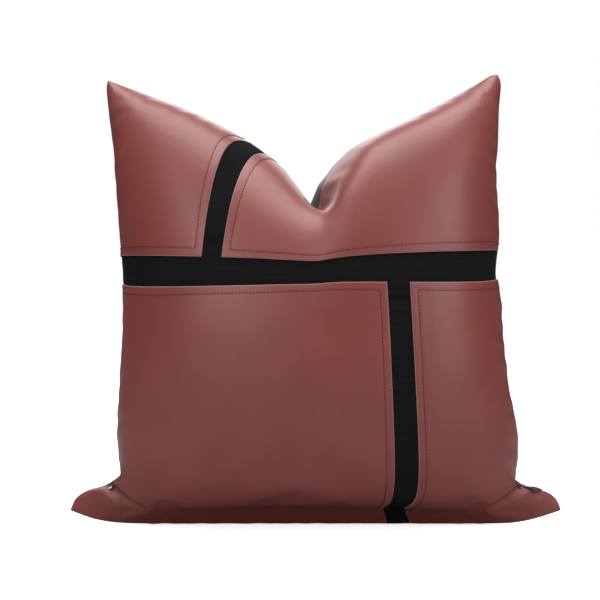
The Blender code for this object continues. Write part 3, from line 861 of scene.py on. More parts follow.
@dataclass
class NodeBuilder:
    """Adds and joins nodes in one tree."""

    tree: bpy.types.NodeTree

    def add(self, kind: str, inputs: dict[str | int, object] | None = None,
            **settings: object) -> bpy.types.Node:
        """Adds a node.

        Args:
            kind: its type.
            inputs: values or outputs for its inputs, by name or number.
            settings: its other settings.

        Returns:
            the node.
        """
        node = self.tree.nodes.new(kind)
        for name, value in settings.items():
            setattr(node, name, value)
        for name, value in (inputs or {}).items():
            self.feed(node.inputs[name], value)
        return node

    def feed(self, socket: bpy.types.NodeSocket, value: object) -> None:
        """Sets an input, or links it when the value is another node's output."""
        if isinstance(value, bpy.types.NodeSocket):
            self.tree.links.new(value, socket)
        else:
            socket.default_value = value

    def math(self, operation: str, first: object, second: object = 0.0) -> bpy.types.NodeSocket:
        """Adds a sum of one or two values and gives its result."""
        node = self.add("ShaderNodeMath", {0: first, 1: second}, operation=operation)
        return node.outputs[0]

    def span(self, value: object, low: float, high: float, new_low: float,
             new_high: float) -> bpy.types.NodeSocket:
        """Carries a value from one range to another, held at its ends."""
        limits = (value, low, high, new_low, new_high)
        return self.add("ShaderNodeMapRange", dict(enumerate(limits))).outputs[0]

    def noise(self, vector: object, scale: object, detail: float = 3.0) -> bpy.types.NodeSocket:
        """Adds noise and gives its value."""
        inputs = {"Vector": vector, "Scale": scale, "Detail": detail}
        return self.add("ShaderNodeTexNoise", inputs).outputs[0]

    def mix(self, share: object, first: object, second: object) -> bpy.types.NodeSocket:
        """Mixes two colours."""
        first, second = ((*colour, 1.0) if isinstance(colour, tuple) else colour
                         for colour in (first, second))
        node = self.add("ShaderNodeMix", {0: share, 6: first, 7: second}, data_type="RGBA")
        return node.outputs[2]


def new_group(name: str, kind: str, inputs: Sequence[tuple[str, str, object]],
              outputs: Sequence[tuple[str, str]]
              ) -> tuple[NodeBuilder, bpy.types.Node, bpy.types.Node]:
    """Starts a node group with named sockets.

    Args:
        name: the group's name.
        kind: its tree type.
        inputs: name, socket type and starting value of each input.
        outputs: name and socket type of each output.

    Returns:
        its builder, its input node and its output node.
    """
    tree = bpy.data.node_groups.new(name, kind)
    for label, socket_type, value in inputs:
        socket = tree.interface.new_socket(label, in_out="INPUT", socket_type=socket_type)
        if value is not None:
            socket.default_value = value
    for label, socket_type in outputs:
        tree.interface.new_socket(label, in_out="OUTPUT", socket_type=socket_type)
    builder = NodeBuilder(tree)
    return builder, builder.add("NodeGroupInput"), builder.add("NodeGroupOutput")


NUMBER, VECTOR, MATERIAL, SHAPE = ("NodeSocketFloat", "NodeSocketVector", "NodeSocketMaterial",
                                   "NodeSocketGeometry")


def grain_group() -> bpy.types.NodeTree:
    """Builds the leather grain: small pebbles parted by creases, pores and a slow mottle, with a
    crease mask for the painted shade in the creases.
    """
    make, given, result = new_group(
        "Leather Grain", "ShaderNodeTree",
        [("Vector", VECTOR, None), ("Pebble Size", NUMBER, 0.0009),
         ("Mottle Size", NUMBER, 0.045)],
        [("Height", NUMBER), ("Mottle", NUMBER), ("Crease Shade", NUMBER)])
    per_metre = make.math("DIVIDE", 1.0, given.outputs["Pebble Size"])
    cells = make.add("ShaderNodeTexVoronoi",
                     {"Vector": given.outputs["Vector"], "Scale": per_metre},
                     feature="DISTANCE_TO_EDGE")
    pebble = make.span(cells.outputs["Distance"], 0.0, 0.35, 0.0, 1.0)
    # Mask of the creases between pebbles, used for the painted shade in them and for their
    # roughness.
    crease_shade = make.span(cells.outputs["Distance"], 0.0, 0.12, 1.0, 0.0)
    pores = make.noise(given.outputs["Vector"], make.math("MULTIPLY", per_metre, 1.7), 2.0)
    height = make.math("ADD", make.math("MULTIPLY", pebble, 0.6), make.math("MULTIPLY", pores, 0.4))
    mottle = make.noise(given.outputs["Vector"],
                        make.math("DIVIDE", 1.0, given.outputs["Mottle Size"]), 4.0)
    for name, value in (("Height", height), ("Crease Shade", crease_shade),
                        ("Mottle", make.span(mottle, 0.3, 0.7, 0.0, 1.0))):
        make.feed(result.inputs[name], value)
    return make.tree


def weave_group() -> bpy.types.NodeTree:
    """Builds a plain weave: threads over and under each other, with painted shade that darkens one
    set of crossings, and lint.
    """
    make, given, result = new_group(
        "Plain Weave", "ShaderNodeTree",
        [("Vector", VECTOR, None), ("Across Pitch", NUMBER, 0.0006),
         ("Along Pitch", NUMBER, 0.0006)],
        [("Height", NUMBER), ("Thread", NUMBER), ("Lint", NUMBER)])
    parts = make.add("ShaderNodeSeparateXYZ", {0: given.outputs["Vector"]})
    waves = []
    for axis, pitch in (("X", "Across Pitch"), ("Y", "Along Pitch")):
        turns = make.math("DIVIDE", parts.outputs[axis], given.outputs[pitch])
        waves.append(make.math("SINE", make.math("MULTIPLY", turns, math.pi)))
    crossing = make.math("MULTIPLY", waves[0], waves[1])
    height = make.math("ABSOLUTE", crossing)
    lint = make.noise(given.outputs["Vector"],
                      make.math("DIVIDE", 0.6, given.outputs["Along Pitch"]), 3.0)
    make.feed(result.inputs["Height"], height)
    # Painted shade: the colour share is 0 where the crossing wave is lowest and 1 where it is
    # highest.
    make.feed(result.inputs["Thread"], make.span(crossing, -1.0, 1.0, 0.0, 1.0))
    make.feed(result.inputs["Lint"], make.span(lint, 0.35, 0.7, 0.0, 1.0))
    return make.tree


@dataclass(frozen=True)
class Finish:
    """A surface finish: its colours, its gloss and the relief of its grain or weave."""

    name: str
    base: Colour
    deep: Colour
    roughness: float
    relief: float
    size: float
    strength: float = 0.5
    coat: float = 0.0
    coat_roughness: float = 0.3
    specular: float = 0.5
    metallic: float = 0.0
    uv: bool = True

    def start(self) -> tuple[bpy.types.Material, NodeBuilder, bpy.types.Node, bpy.types.NodeSocket]:
        """Starts the material: its shader, and where the pattern is read."""
        material = bpy.data.materials.new(self.name)
        material.use_nodes = True
        material.diffuse_color = (*self.base, 1.0)
        make = NodeBuilder(material.node_tree)
        shader = material.node_tree.nodes["Principled BSDF"]
        for name, value in (("Coat Weight", self.coat), ("Coat Roughness", self.coat_roughness),
                            ("Specular IOR Level", self.specular), ("Metallic", self.metallic)):
            shader.inputs[name].default_value = value
        if self.uv:
            source = make.add("ShaderNodeUVMap", uv_map=PATTERN_UV).outputs[0]
        else:
            source = make.add("ShaderNodeTexCoord").outputs["Object"]
        return material, make, shader, source

    def bump(self, make: NodeBuilder, shader: bpy.types.Node, height: bpy.types.NodeSocket) -> None:
        """Lets a height tilt the surface."""
        node = make.add("ShaderNodeBump", {"Strength": self.strength, "Distance": self.relief,
                                           "Height": height})
        make.feed(shader.inputs["Normal"], node.outputs[0])


@dataclass(frozen=True)
class LeatherFinish(Finish):
    """A coated leather with a fine pebble."""

    # The next two set the painted shade in the grain's creases: how dark and how strongly.
    crease_shade_tone: float = 0.72
    crease_shade_share: float = 0.35
    crease_rough: float = 0.05
    mottle_rough: tuple[float, float] = (0.03, -0.02)

    def material(self, grain: bpy.types.NodeTree) -> bpy.types.Material:
        """Builds the leather's material.

        Args:
            grain: the shared grain group.

        Returns:
            the material.
        """
        material, make, shader, source = self.start()
        pattern = make.add("ShaderNodeGroup", {"Vector": source, "Pebble Size": self.size},
                           node_tree=grain)
        tone = make.mix(pattern.outputs["Mottle"], self.deep, self.base)
        # Painted shade: the grain's creases are painted darker than the leather around them.
        crease_shade_colour = tuple(channel * self.crease_shade_tone for channel in self.deep)
        shade = make.math("MULTIPLY", pattern.outputs["Crease Shade"], self.crease_shade_share)
        make.feed(shader.inputs["Base Color"], make.mix(shade, tone, crease_shade_colour))
        rough = make.span(pattern.outputs["Mottle"], 0.0, 1.0,
                          *(self.roughness + change for change in self.mottle_rough))
        dull = make.math("MULTIPLY", pattern.outputs["Crease Shade"], self.crease_rough)
        rough = make.math("ADD", rough, dull)
        make.feed(shader.inputs["Roughness"], rough)
        self.bump(make, shader, pattern.outputs["Height"])
        return material


@dataclass(frozen=True)
class WovenFinish(Finish):
    """A woven cloth or tape."""

    def material(self, weave: bpy.types.NodeTree) -> bpy.types.Material:
        """Builds the cloth's material.

        Args:
            weave: the shared weave group.

        Returns:
            the material.
        """
        material, make, shader, source = self.start()
        pattern = make.add("ShaderNodeGroup", {"Vector": source, "Across Pitch": self.size,
                                               "Along Pitch": self.size}, node_tree=weave)
        # Painted shade on the weave: the deep colour where the crossing wave is low, the base
        # colour where it is high.
        tone = make.mix(pattern.outputs["Thread"], self.deep, self.base)
        lighter = tuple(min(1.0, channel * 1.5 + 0.004) for channel in self.base)
        lint = make.math("MULTIPLY", pattern.outputs["Lint"], 0.4)
        make.feed(shader.inputs["Base Color"], make.mix(lint, tone, lighter))
        make.feed(shader.inputs["Roughness"],
                  make.span(pattern.outputs["Lint"], 0.0, 1.0, self.roughness - 0.05,
                            min(1.0, self.roughness + 0.06)))
        self.bump(make, shader, pattern.outputs["Height"])
        return material


@dataclass(frozen=True)
class NoisyFinish(Finish):
    """A plain surface with fine unevenness: metal, nylon, thread or fibre."""

    def material(self) -> bpy.types.Material:
        """Builds the material."""
        material, make, shader, source = self.start()
        fine = make.noise(source, 1 / self.size, 4.0)
        slow = make.noise(source, 0.08 / self.size, 3.0)
        tone = make.mix(make.span(slow, 0.35, 0.65, 0.0, 1.0), self.deep, self.base)
        make.feed(shader.inputs["Base Color"], tone)
        make.feed(shader.inputs["Roughness"],
                  make.span(fine, 0.3, 0.7, self.roughness - 0.05, self.roughness + 0.05))
        self.bump(make, shader, fine)
        return material


@dataclass(frozen=True)
class Finishes:
    """Every finish of the cushion, as materials."""

    red: bpy.types.Material
    cut_edge: bpy.types.Material
    black: bpy.types.Material
    webbing: bpy.types.Material
    tape: bpy.types.Material
    casing: bpy.types.Material
    label: bpy.types.Material
    thread: bpy.types.Material
    nylon: bpy.types.Material
    metal: bpy.types.Material
    fibre: bpy.types.Material

    @classmethod
    def mixed(cls) -> "Finishes":
        """Mixes them all."""
        grain, weave = grain_group(), weave_group()
        # Each leather's creases take its second colour darkened, as painted shade; its two colours
        # also mottle at random.
        red = LeatherFinish(
            "oxblood leather", (0.205, 0.039, 0.031), (0.172, 0.030, 0.024), 0.39,
            0.00005, 0.0009, 0.35, coat=0.18, coat_roughness=0.33).material(grain)
        cut_edge = LeatherFinish(
            "cut leather edge", (0.36, 0.20, 0.185), (0.26, 0.13, 0.12), 0.75,
            0.00006, 0.0005, 0.5).material(grain)
        black = LeatherFinish(
            "black leather", (0.022, 0.020, 0.020), (0.014, 0.013, 0.013), 0.42,
            0.00006, 0.0010, 0.45, coat=0.15, coat_roughness=0.36).material(grain)
        # Each woven finish's second colour is the painted shade of its weave.
        webbing = WovenFinish(
            "black webbing", (0.0085, 0.0087, 0.0087), (0.0030, 0.0031, 0.0032), 0.75,
            0.00012, 0.0006, 0.8, specular=0.08).material(weave)
        tape = WovenFinish(
            "zip tape cloth", (0.017, 0.017, 0.018), (0.009, 0.009, 0.010), 0.78,
            0.00008, 0.0005, 0.8, specular=0.3).material(weave)
        casing = WovenFinish(
            "white casing cloth", (0.80, 0.79, 0.76), (0.66, 0.65, 0.62), 0.85,
            0.00006, 0.0005, 0.6).material(weave)
        label = WovenFinish(
            "woven label cloth", (0.020, 0.020, 0.021), (0.009, 0.009, 0.009), 0.62,
            0.00008, 0.0004, 0.8).material(weave)
        thread = NoisyFinish(
            "burgundy thread", (0.042, 0.010, 0.009), (0.022, 0.005, 0.005), 0.7,
            0.00004, 0.0003, 0.6, uv=False).material()
        nylon = NoisyFinish(
            "black nylon", (0.020, 0.020, 0.021), (0.012, 0.012, 0.013), 0.40,
            0.00002, 0.0004, 0.5, uv=False).material()
        metal = NoisyFinish(
            "dark nickel", (0.34, 0.335, 0.33), (0.24, 0.235, 0.23), 0.30,
            0.00001, 0.0003, 0.4, metallic=1.0, uv=False).material()
        fibre = NoisyFinish(
            "white fibre", (0.86, 0.86, 0.85), (0.74, 0.74, 0.72), 0.90,
            0.00050, 0.0020, 0.8, uv=False).material()
        return cls(red, cut_edge, black, webbing, tape, casing, label, thread, nylon, metal, fibre)


# ---------------------------------------------------------------- repeated shapes


def dress(make: NodeBuilder, given: bpy.types.Node, result: bpy.types.Node,
          shape: bpy.types.NodeSocket) -> None:
    """Ends a geometry tree: realizes its shape and gives it the material.

    Args:
        make: the tree's builder.
        given, result: its input and output nodes.
        shape: the finished geometry.
    """
    solid = make.add("GeometryNodeRealizeInstances", {0: shape})
    dressed = make.add("GeometryNodeSetMaterial", {"Geometry": solid.outputs[0],
                                                   "Material": given.outputs["Material"]})
    make.feed(result.inputs[0], dressed.outputs[0])


def repeat_tree() -> bpy.types.NodeTree:
    """Builds the tree that lays one small rounded shape again and again along a path."""
    make, given, result = new_group(
        "Repeat Along Path", "GeometryNodeTree",
        [("Geometry", SHAPE, None), ("Pitch", NUMBER, 0.003), ("Size", VECTOR, None),
         ("Phase", NUMBER, 0.0), ("Material", MATERIAL, None)],
        [("Geometry", SHAPE)])
    curve = make.add("GeometryNodeMeshToCurve", {0: given.outputs["Geometry"]})
    spaced = make.add("GeometryNodeResampleCurve",
                      {"Curve": curve.outputs[0], "Length": given.outputs["Pitch"]},
                      mode="LENGTH")
    bead = make.add("GeometryNodeMeshUVSphere", {"Segments": 7, "Rings": 5, "Radius": 0.5})
    shaped = make.add("GeometryNodeTransform", {"Geometry": bead.outputs["Mesh"],
                                                "Scale": given.outputs["Size"]})
    smooth = make.add("GeometryNodeSetShadeSmooth", {"Geometry": shaped.outputs[0]})
    tangent = make.add("GeometryNodeInputTangent")
    normal = make.add("GeometryNodeInputNamedAttribute", {"Name": "surface_normal"},
                      data_type="FLOAT_VECTOR")
    ahead = make.add("FunctionNodeAlignRotationToVector", {"Vector": tangent.outputs[0]},
                     axis="X")
    upright = make.add("FunctionNodeAlignRotationToVector",
                       {"Rotation": ahead.outputs[0], "Vector": normal.outputs[0]},
                       axis="Z", pivot_axis="X")
    placed = make.add("GeometryNodeInstanceOnPoints",
                      {"Points": spaced.outputs[0], "Instance": smooth.outputs[0],
                       "Rotation": upright.outputs[0]})
    dress(make, given, result, placed.outputs[0])
    return make.tree


def rib_tree() -> bpy.types.NodeTree:
    """Builds the tree that raises ribs across a face at an even pitch."""
    make, given, result = new_group(
        "Raise Ribs", "GeometryNodeTree",
        [("Geometry", SHAPE, None), ("Rib Pitch", NUMBER, 0.0009),
         ("Rib Height", NUMBER, 0.0002), ("Material", MATERIAL, None)],
        [("Geometry", SHAPE)])
    run, face = (make.add("GeometryNodeInputNamedAttribute", {"Name": name}, data_type="FLOAT")
                 for name in ("rib_run", "rib_face"))
    turns = make.math("DIVIDE", run.outputs[0], given.outputs["Rib Pitch"])
    wave = make.math("COSINE", make.math("MULTIPLY", turns, 2 * math.pi))
    lift = make.math("MULTIPLY", make.math("ADD", wave, -1.0), 0.5)
    lift = make.math("MULTIPLY", lift, given.outputs["Rib Height"])
    lift = make.math("MULTIPLY", lift, face.outputs[0])
    normal = make.add("GeometryNodeInputNormal")
    shift = make.add("ShaderNodeVectorMath", {0: normal.outputs[0], "Scale": lift},
                     operation="SCALE")
    moved = make.add("GeometryNodeSetPosition", {"Geometry": given.outputs["Geometry"],
                                                 "Offset": shift.outputs[0]})
    dress(make, given, result, moved.outputs[0])
    return make.tree


def apply_tree(base: bpy.types.Object, tree: bpy.types.NodeTree, name: str,
               values: dict[str, object]) -> bpy.types.Object:
    """Runs a geometry tree on an object and keeps the result as a plain mesh.

    Args:
        base: what the tree starts from; it is removed.
        tree: the geometry tree.
        name: the new piece's name.
        values: the tree's inputs by name.

    Returns:
        the new piece.
    """
    modifier = base.modifiers.new("tree", "NODES")
    modifier.node_group = tree
    for item in tree.interface.items_tree:
        if item.item_type == "SOCKET" and item.in_out == "INPUT" and item.name in values:
            modifier[item.identifier] = values[item.name]
    base.update_tag()
    graph = bpy.context.evaluated_depsgraph_get()
    mesh = bpy.data.meshes.new_from_object(base.evaluated_get(graph))
    base.modifiers.remove(modifier)
    bpy.data.objects.remove(base, do_unlink=True)
    mesh.name = name
    return new_object(name, mesh)


# ---------------------------------------------------------------- the front


@dataclass
class LeatherFront:
    """The four red leather panels, with their cut edges and rows of topstitching."""

    cover: Cover
    finishes: Finishes
    stitches: bpy.types.NodeTree
    thickness: float = 0.0010
    spacing: float = 0.0026
    edge_round: float = 0.0009
    edge_drop: float = 0.00035
    edge_band: float = 0.0005
    stitch_groove: float = 0.00016
    groove_half_width: float = 0.0013
    stitch_pitch: float = 0.0031
    stitch_size: Point = (0.0024, 0.00085, 0.0008)
    near_cut: tuple[float, ...] = (0.0, 0.0002, 0.0005, 0.0012, 0.0022, 0.0038, 0.0050, 0.0060,
                                   0.0070, 0.0080, 0.0090, 0.0105, 0.0130)
    stitch_step: float = 0.002
    stitch_lift: float = 0.00012
    side_stop: float = 0.0025
    foot_stop: float = 0.010

    def build(self) -> None:
        """Builds and dresses every panel and its stitching."""
        pattern = self.cover.pattern
        show = pattern.band_showing / 2
        for level, rising, strap, showing in (
                ("upper", 1, pattern.upper_strap, pattern.upper_showing),
                ("lower", -1, pattern.lower_strap, pattern.lower_showing)):
            cut_v = pattern.band_centre + rising * show
            for side, way in (("left", -1), ("right", 1)):
                cut_u = strap + way * showing / 2
                self.panel(f"{level}_{side}", cut_u, cut_v, way, rising)
                self.topstitch(f"{level}_{side}", cut_u, cut_v, way, rising)

    def lines(self, cut: float, way: int) -> Array:
        """Grid lines from a cut edge to the seam beyond it, rising."""
        reach = abs(way * self.cover.pattern.half - cut)
        lines = gathered_at_both(reach, self.near_cut, NEAR_SEAM, self.spacing)
        return np.sort(cut + way * lines)

    def panel(self, name: str, cut_u: float, cut_v: float, way: int, rising: int) -> None:
        """Builds one panel between its two cut edges and the seam.

        Args:
            name: which panel.
            cut_u, cut_v: where its two cut edges lie on the pattern.
            way, rising: which way it runs from them, across and up.
        """
        columns, rows = self.lines(cut_u, way), self.lines(cut_v, rising)
        u, v = np.meshgrid(columns, rows, indexing="ij")
        inset = self.cover.pattern.stitch_inset

        def outer(u: Array, v: Array) -> Array:
            """Places the outer face, rounded at its cut edges and drawn in along the stitches."""
            off_u, off_v = (u - cut_u) * way, (v - cut_v) * rising
            off = np.minimum(off_u, off_v)
            drop = self.edge_drop * np.clip(1 - off / self.edge_round, 0, 1) ** 2
            groove = np.exp(-((off - inset) / self.groove_half_width) ** 2)
            return self.cover.layer(u, v, drop + self.stitch_groove * groove, Facing.FRONT)

        inner = at_depth(self.cover, self.thickness, Facing.FRONT)
        piece = sewn_piece(f"leather_{name}", u, v, outer, inner, Facing.FRONT)
        piece.data.materials.append(self.finishes.red)
        mid_u = (columns[1:] + columns[:-1]) / 2
        mid_v = (rows[1:] + rows[:-1]) / 2
        beside = (np.minimum(((mid_u - cut_u) * way)[:, None], ((mid_v - cut_v) * rising)[None])
                  < self.edge_band)
        chosen = np.zeros(len(piece.data.polygons), bool)
        chosen[:beside.size] = beside.ravel()
        chosen[2 * beside.size:] = True
        mark_faces(piece, chosen, self.finishes.cut_edge)
        finish_piece(piece, [f"front_panel_{name}"])

    def topstitch(self, name: str, cut_u: float, cut_v: float, way: int, rising: int) -> None:
        """Sews one L-shaped row of stitches on a panel.

        Args:
            name: which panel.
            cut_u, cut_v: where its two cut edges lie on the pattern.
            way, rising: which way it runs from them, across and up.
        """
        pattern = self.cover.pattern
        turn_u = cut_u + way * pattern.stitch_inset
        turn_v = cut_v + rising * pattern.stitch_inset
        end_u = way * (pattern.half - self.side_stop)
        end_v = rising * (pattern.half - (self.side_stop if rising > 0 else self.foot_stop))
        count_v = int(abs(end_v - turn_v) / self.stitch_step)
        count_u = int(abs(end_u - turn_u) / self.stitch_step)
        v = np.concatenate([np.linspace(end_v, turn_v, count_v), np.full(count_u - 1, turn_v)])
        u = np.concatenate([np.full(count_v, turn_u),
                            np.linspace(turn_u, end_u, count_u)[1:]])
        points = self.cover.layer(u, v, -self.stitch_lift, Facing.FRONT)
        path = path_piece(f"row_{name}", points, self.cover.outward(u, v, Facing.FRONT))
        row = apply_tree(path, self.stitches, f"stitching_{name}", {
            "Pitch": self.stitch_pitch, "Size": self.stitch_size,
            "Material": self.finishes.thread})
        finish_piece(row, [f"topstitch_{name}"])


@dataclass
class Webbing:
    """The ribbed black webbing that shows between the leather panels."""

    cover: Cover
    finishes: Finishes
    ribs: bpy.types.NodeTree
    depth: float = 0.0013
    thickness: float = 0.0012
    gap: float = 0.0003
    tuck: float = 0.015
    rib_pitch: float = 0.0013
    rib_height: float = 0.00055
    rib_fade: float = 0.004
    spacing: float = 0.005

    def build(self) -> None:
        """Builds the band and the two straps."""
        pattern = self.cover.pattern
        half, hidden = pattern.half, pattern.tape_width / 2
        self.strip("band", -half, half, pattern.band_centre - hidden,
                   pattern.band_centre + hidden, 0)
        for level, rising, strap in (("upper", 1, pattern.upper_strap),
                                     ("lower", -1, pattern.lower_strap)):
            start = pattern.band_centre + rising * (hidden - self.tuck)
            low, high = sorted((start, rising * half))
            self.strip(f"{level}_strap", strap - hidden, strap + hidden, low, high, rising)

    def strip(self, name: str, left: float, right: float, low: float, high: float,
              rising: int) -> None:
        """Builds one length of webbing.

        Args:
            name: which length.
            left, right, low, high: where it lies on the pattern.
            rising: which way it runs from the band, or 0 for the band.
        """
        pattern = self.cover.pattern
        columns = np.linspace(left, right, max(8, round((right - left) / self.spacing)) + 1)
        rows = np.arange(low, high + self.rib_pitch / 8, self.rib_pitch / 4)
        rows = np.append(rows[rows < high - 1e-5], high)
        u, v = np.meshgrid(columns, rows, indexing="ij")
        hidden = pattern.tape_width / 2
        fall = hidden - pattern.band_showing / 2

        def extra(v: Array) -> Array:
            """How far the strap dips to pass under the band."""
            past = (v - pattern.band_centre) * rising - hidden - self.gap
            return (self.thickness + self.gap) * (1 - smooth_step(past / fall)) * abs(rising)

        def outer(u: Array, v: Array) -> Array:
            """Places the outer face."""
            return self.cover.layer(u, v, self.depth + extra(v), Facing.FRONT)

        def inner(u: Array, v: Array) -> Array:
            """Places the inner face."""
            return self.cover.layer(u, v, self.depth + self.thickness + extra(v), Facing.FRONT)

        base = sewn_piece(f"plain_{name}", u, v, outer, inner, Facing.FRONT)
        off_seam = np.minimum(pattern.half - np.abs(u), pattern.half - np.abs(v))
        share = smooth_step(off_seam / self.rib_fade).ravel()
        point_attribute(base.data, "rib_run", np.tile(v.ravel(), 2), "FLOAT")
        point_attribute(base.data, "rib_face", np.concatenate([share, 0 * share]), "FLOAT")
        piece = apply_tree(base, self.ribs, f"webbing_strip_{name}", {
            "Rib Pitch": self.rib_pitch, "Rib Height": self.rib_height,
            "Material": self.finishes.webbing})
        finish_piece(piece, [f"webbing_{name}"])


# ---------------------------------------------------------------- the back


@dataclass
class Back:
    """The two black back panels, which part along the zip."""

    cover: Cover
    finishes: Finishes
    thickness: float = 0.0010
    slot: float = 0.014
    gap: float = 0.0003
    spacing: float = 0.0026
    near_zip: tuple[float, ...] = (0.0, 0.0004, 0.0009, 0.0016, 0.0026, 0.004)
    edge_drop: float = 0.0004
    edge_round: float = 0.0012

    def parting(self, u: Array) -> Array:
        """How far each panel's edge stands from the zip's middle."""
        arc = self.cover.zip_arc
        past = (np.abs(u) - arc.length / 2 - arc.stop_length) / self.slot
        opened = 1 - smooth_step(past)
        return self.gap / 2 + (self.slot - self.gap) / 2 * opened

    def outer(self, u: Array, v: Array) -> Array:
        """Places the outer face, rounded where it is turned back along the zip."""
        off = np.abs(v - self.cover.pattern.zip_level) - self.parting(u)
        drop = self.edge_drop * np.clip(1 - off / self.edge_round, 0, 1) ** 2
        return self.cover.layer(u, v, drop, Facing.BACK)

    def build(self) -> None:
        """Builds both panels."""
        pattern = self.cover.pattern
        half = pattern.half
        side = gathered_at_end(half, NEAR_SEAM, self.spacing)
        columns = np.concatenate([-side[:0:-1], side])
        inner = at_depth(self.cover, self.thickness, Facing.BACK)
        for level, rising in LEVELS:
            reach = abs(rising * half - pattern.zip_level)
            lines = gathered_at_both(reach, self.near_zip, NEAR_SEAM, self.spacing)
            u, share = np.meshgrid(columns, lines / reach, indexing="ij")
            start = self.parting(u)
            away = start * (1 - share) + reach * share
            v = pattern.zip_level + rising * away
            piece = sewn_piece(f"leather_back_{level}", u, v, self.outer, inner, Facing.BACK)
            piece.data.materials.append(self.finishes.black)
            finish_piece(piece, [f"back_panel_{level}"])


@dataclass
class Zip:
    """The zip's tapes and coils, and the metal of its stops, slider and pull."""

    cover: Cover
    finishes: Finishes
    teeth: bpy.types.NodeTree
    tape_depth: float = 0.0013
    tape_thickness: float = 0.0006
    tape_width: float = 0.012
    coil_near: float = 0.0007
    coil_far: float = 0.0029
    gap: float = 0.0003
    tooth_pitch: float = 0.0014
    tooth_size: Point = (0.00095, 0.0022, 0.0022)
    tape_rows: int = 9
    tape_columns: int = 121
    coil_points: int = 161

    def build(self) -> None:
        """Builds the tapes and coils and dresses the metal."""
        arc = self.cover.zip_arc
        end = arc.length / 2
        tape_end = end + arc.stop_length + self.gap
        middle = self.tape_depth + self.tape_thickness / 2
        outer, inner = (partial(arc.place, depth=depth) for depth in
                        (self.tape_depth, self.tape_depth + self.tape_thickness))
        for level, rising in LEVELS:
            rows = rising * (self.coil_far + self.gap
                             + np.linspace(0, self.tape_width, self.tape_rows))
            columns = np.linspace(-tape_end, tape_end, self.tape_columns)
            u, rise = np.meshgrid(columns, np.sort(rows), indexing="ij")
            tape = sewn_piece(f"tape_{level}", u, rise, outer, inner, Facing.BACK)
            tape.data.materials.append(self.finishes.tape)
            finish_piece(tape, [f"zip_tape_{level}"])
            self.coil(level, rising, middle, end)
        for node in ("zip_top_stop_upper", "zip_top_stop_lower", "zip_bottom_stop",
                     "zip_slider", "zip_pull"):
            self.polish(node)

    def coil(self, level: str, rising: int, depth: float, end: float) -> None:
        """Winds one row of coil teeth.

        Args:
            level: upper or lower.
            rising: which side of the zip's middle it lies on.
            depth: how far below the cover's face.
            end: how far along the zip it reaches.
        """
        arc = self.cover.zip_arc
        reach = end - self.tooth_pitch / 2
        run = np.linspace(-reach, reach, self.coil_points)
        rise = np.full_like(run, rising * (self.coil_near + self.coil_far) / 2)
        points = arc.place(run, rise, depth)
        normals = unit(arc.place(run, rise, depth - MM) - points)
        path = path_piece(f"coil_path_{level}", points, normals)
        coil = apply_tree(path, self.teeth, f"coil_{level}", {
            "Pitch": self.tooth_pitch, "Size": self.tooth_size,
            "Material": self.finishes.nylon})
        finish_piece(coil, [f"zip_chain_{level}"])

    def polish(self, node: str) -> None:
        """Gives a metal CAD node its finish."""
        item = frame["nodes"][node]
        for held in item.material_slots:
            held.material = self.finishes.metal
        LOG.info("%s: metal finish", node)


# ---------------------------------------------------------------- inside and trim


@dataclass
class Insert:
    """The stuffed insert: its two casing halves and its filling."""

    cover: Cover
    finishes: Finishes
    depth: float = 0.0080
    thickness: float = 0.0008
    gap: float = 0.0008
    drawn_in: float = 0.008
    rim: float = 0.05
    cells: int = 72

    def place(self, u: Array, v: Array, depth: float, side: Facing) -> Array:
        """Finds points of the insert, whose two sides meet at its own seam inside the cover.

        Args:
            u, v: places on the pattern.
            depth: how far below the cover's face.
            side: front or back.

        Returns:
            a point for each place.
        """
        half = self.cover.pattern.half
        front, back = (self.cover.layer(u, v, depth, facing) for facing in Facing)
        off = 1 - np.maximum(np.abs(u), np.abs(v)) / (half - self.drawn_in)
        meet = (1 - smooth_step(off / self.rim))[..., None]
        mine = front if side is Facing.FRONT else back
        return mine * (1 - meet) + (front + back) / 2 * meet

    def build(self) -> None:
        """Builds the casing halves and the filling."""
        pattern = self.cover.pattern
        reach = pattern.half - self.drawn_in
        lines = np.linspace(-reach, reach, self.cells + 1)
        u, v = np.meshgrid(lines, lines, indexing="ij")
        for side in Facing:
            outer, inner = (partial(self.place, depth=depth, side=side)
                            for depth in (self.depth, self.depth + self.thickness))
            word = side.name.lower()
            casing = sewn_piece(f"casing_{word}", u, v, outer, inner, side)
            casing.data.materials.append(self.finishes.casing)
            finish_piece(casing, [f"insert_casing_{word}"])
        depth = self.depth + self.thickness + self.gap
        front, back = (partial(self.place, depth=depth, side=side) for side in Facing)
        fill = sewn_piece("filling", u, v, front, back, Facing.FRONT)
        fill.data.materials.append(self.finishes.fibre)
        finish_piece(fill, ["insert_fill"])


@dataclass
class SideLabel:
    """The small blank woven label caught in the side seam near the right bottom corner."""

    cover: Cover
    finishes: Finishes
    width: float = 0.018
    drop: float = 0.009
    from_tip: float = 0.028
    thickness: float = 0.0006
    lift: float = 0.0012
    least_lift: float = 0.0002
    lift_reach: float = 0.003

    def build(self) -> None:
        """Builds the label."""
        half = self.cover.pattern.half
        columns = np.linspace(half - self.drop, half, 13)
        rows = np.linspace(-half + self.from_tip, -half + self.from_tip + self.width, 19)
        u, v = np.meshgrid(columns, rows, indexing="ij")

        def clear(u: Array) -> Array:
            """How far the label stands off the leather."""
            return self.lift * smooth_step((half - u) / self.lift_reach) + self.least_lift

        def outer(u: Array, v: Array) -> Array:
            """Places the label's outer face."""
            return self.cover.layer(u, v, -clear(u) - self.thickness, Facing.FRONT)

        def inner(u: Array, v: Array) -> Array:
            """Places the label's inner face."""
            return self.cover.layer(u, v, -clear(u), Facing.FRONT)

        label = sewn_piece("woven_label", u, v, outer, inner, Facing.FRONT)
        label.data.materials.append(self.finishes.label)
        finish_piece(label, ["side_label"])


# ---------------------------------------------------------------- studio


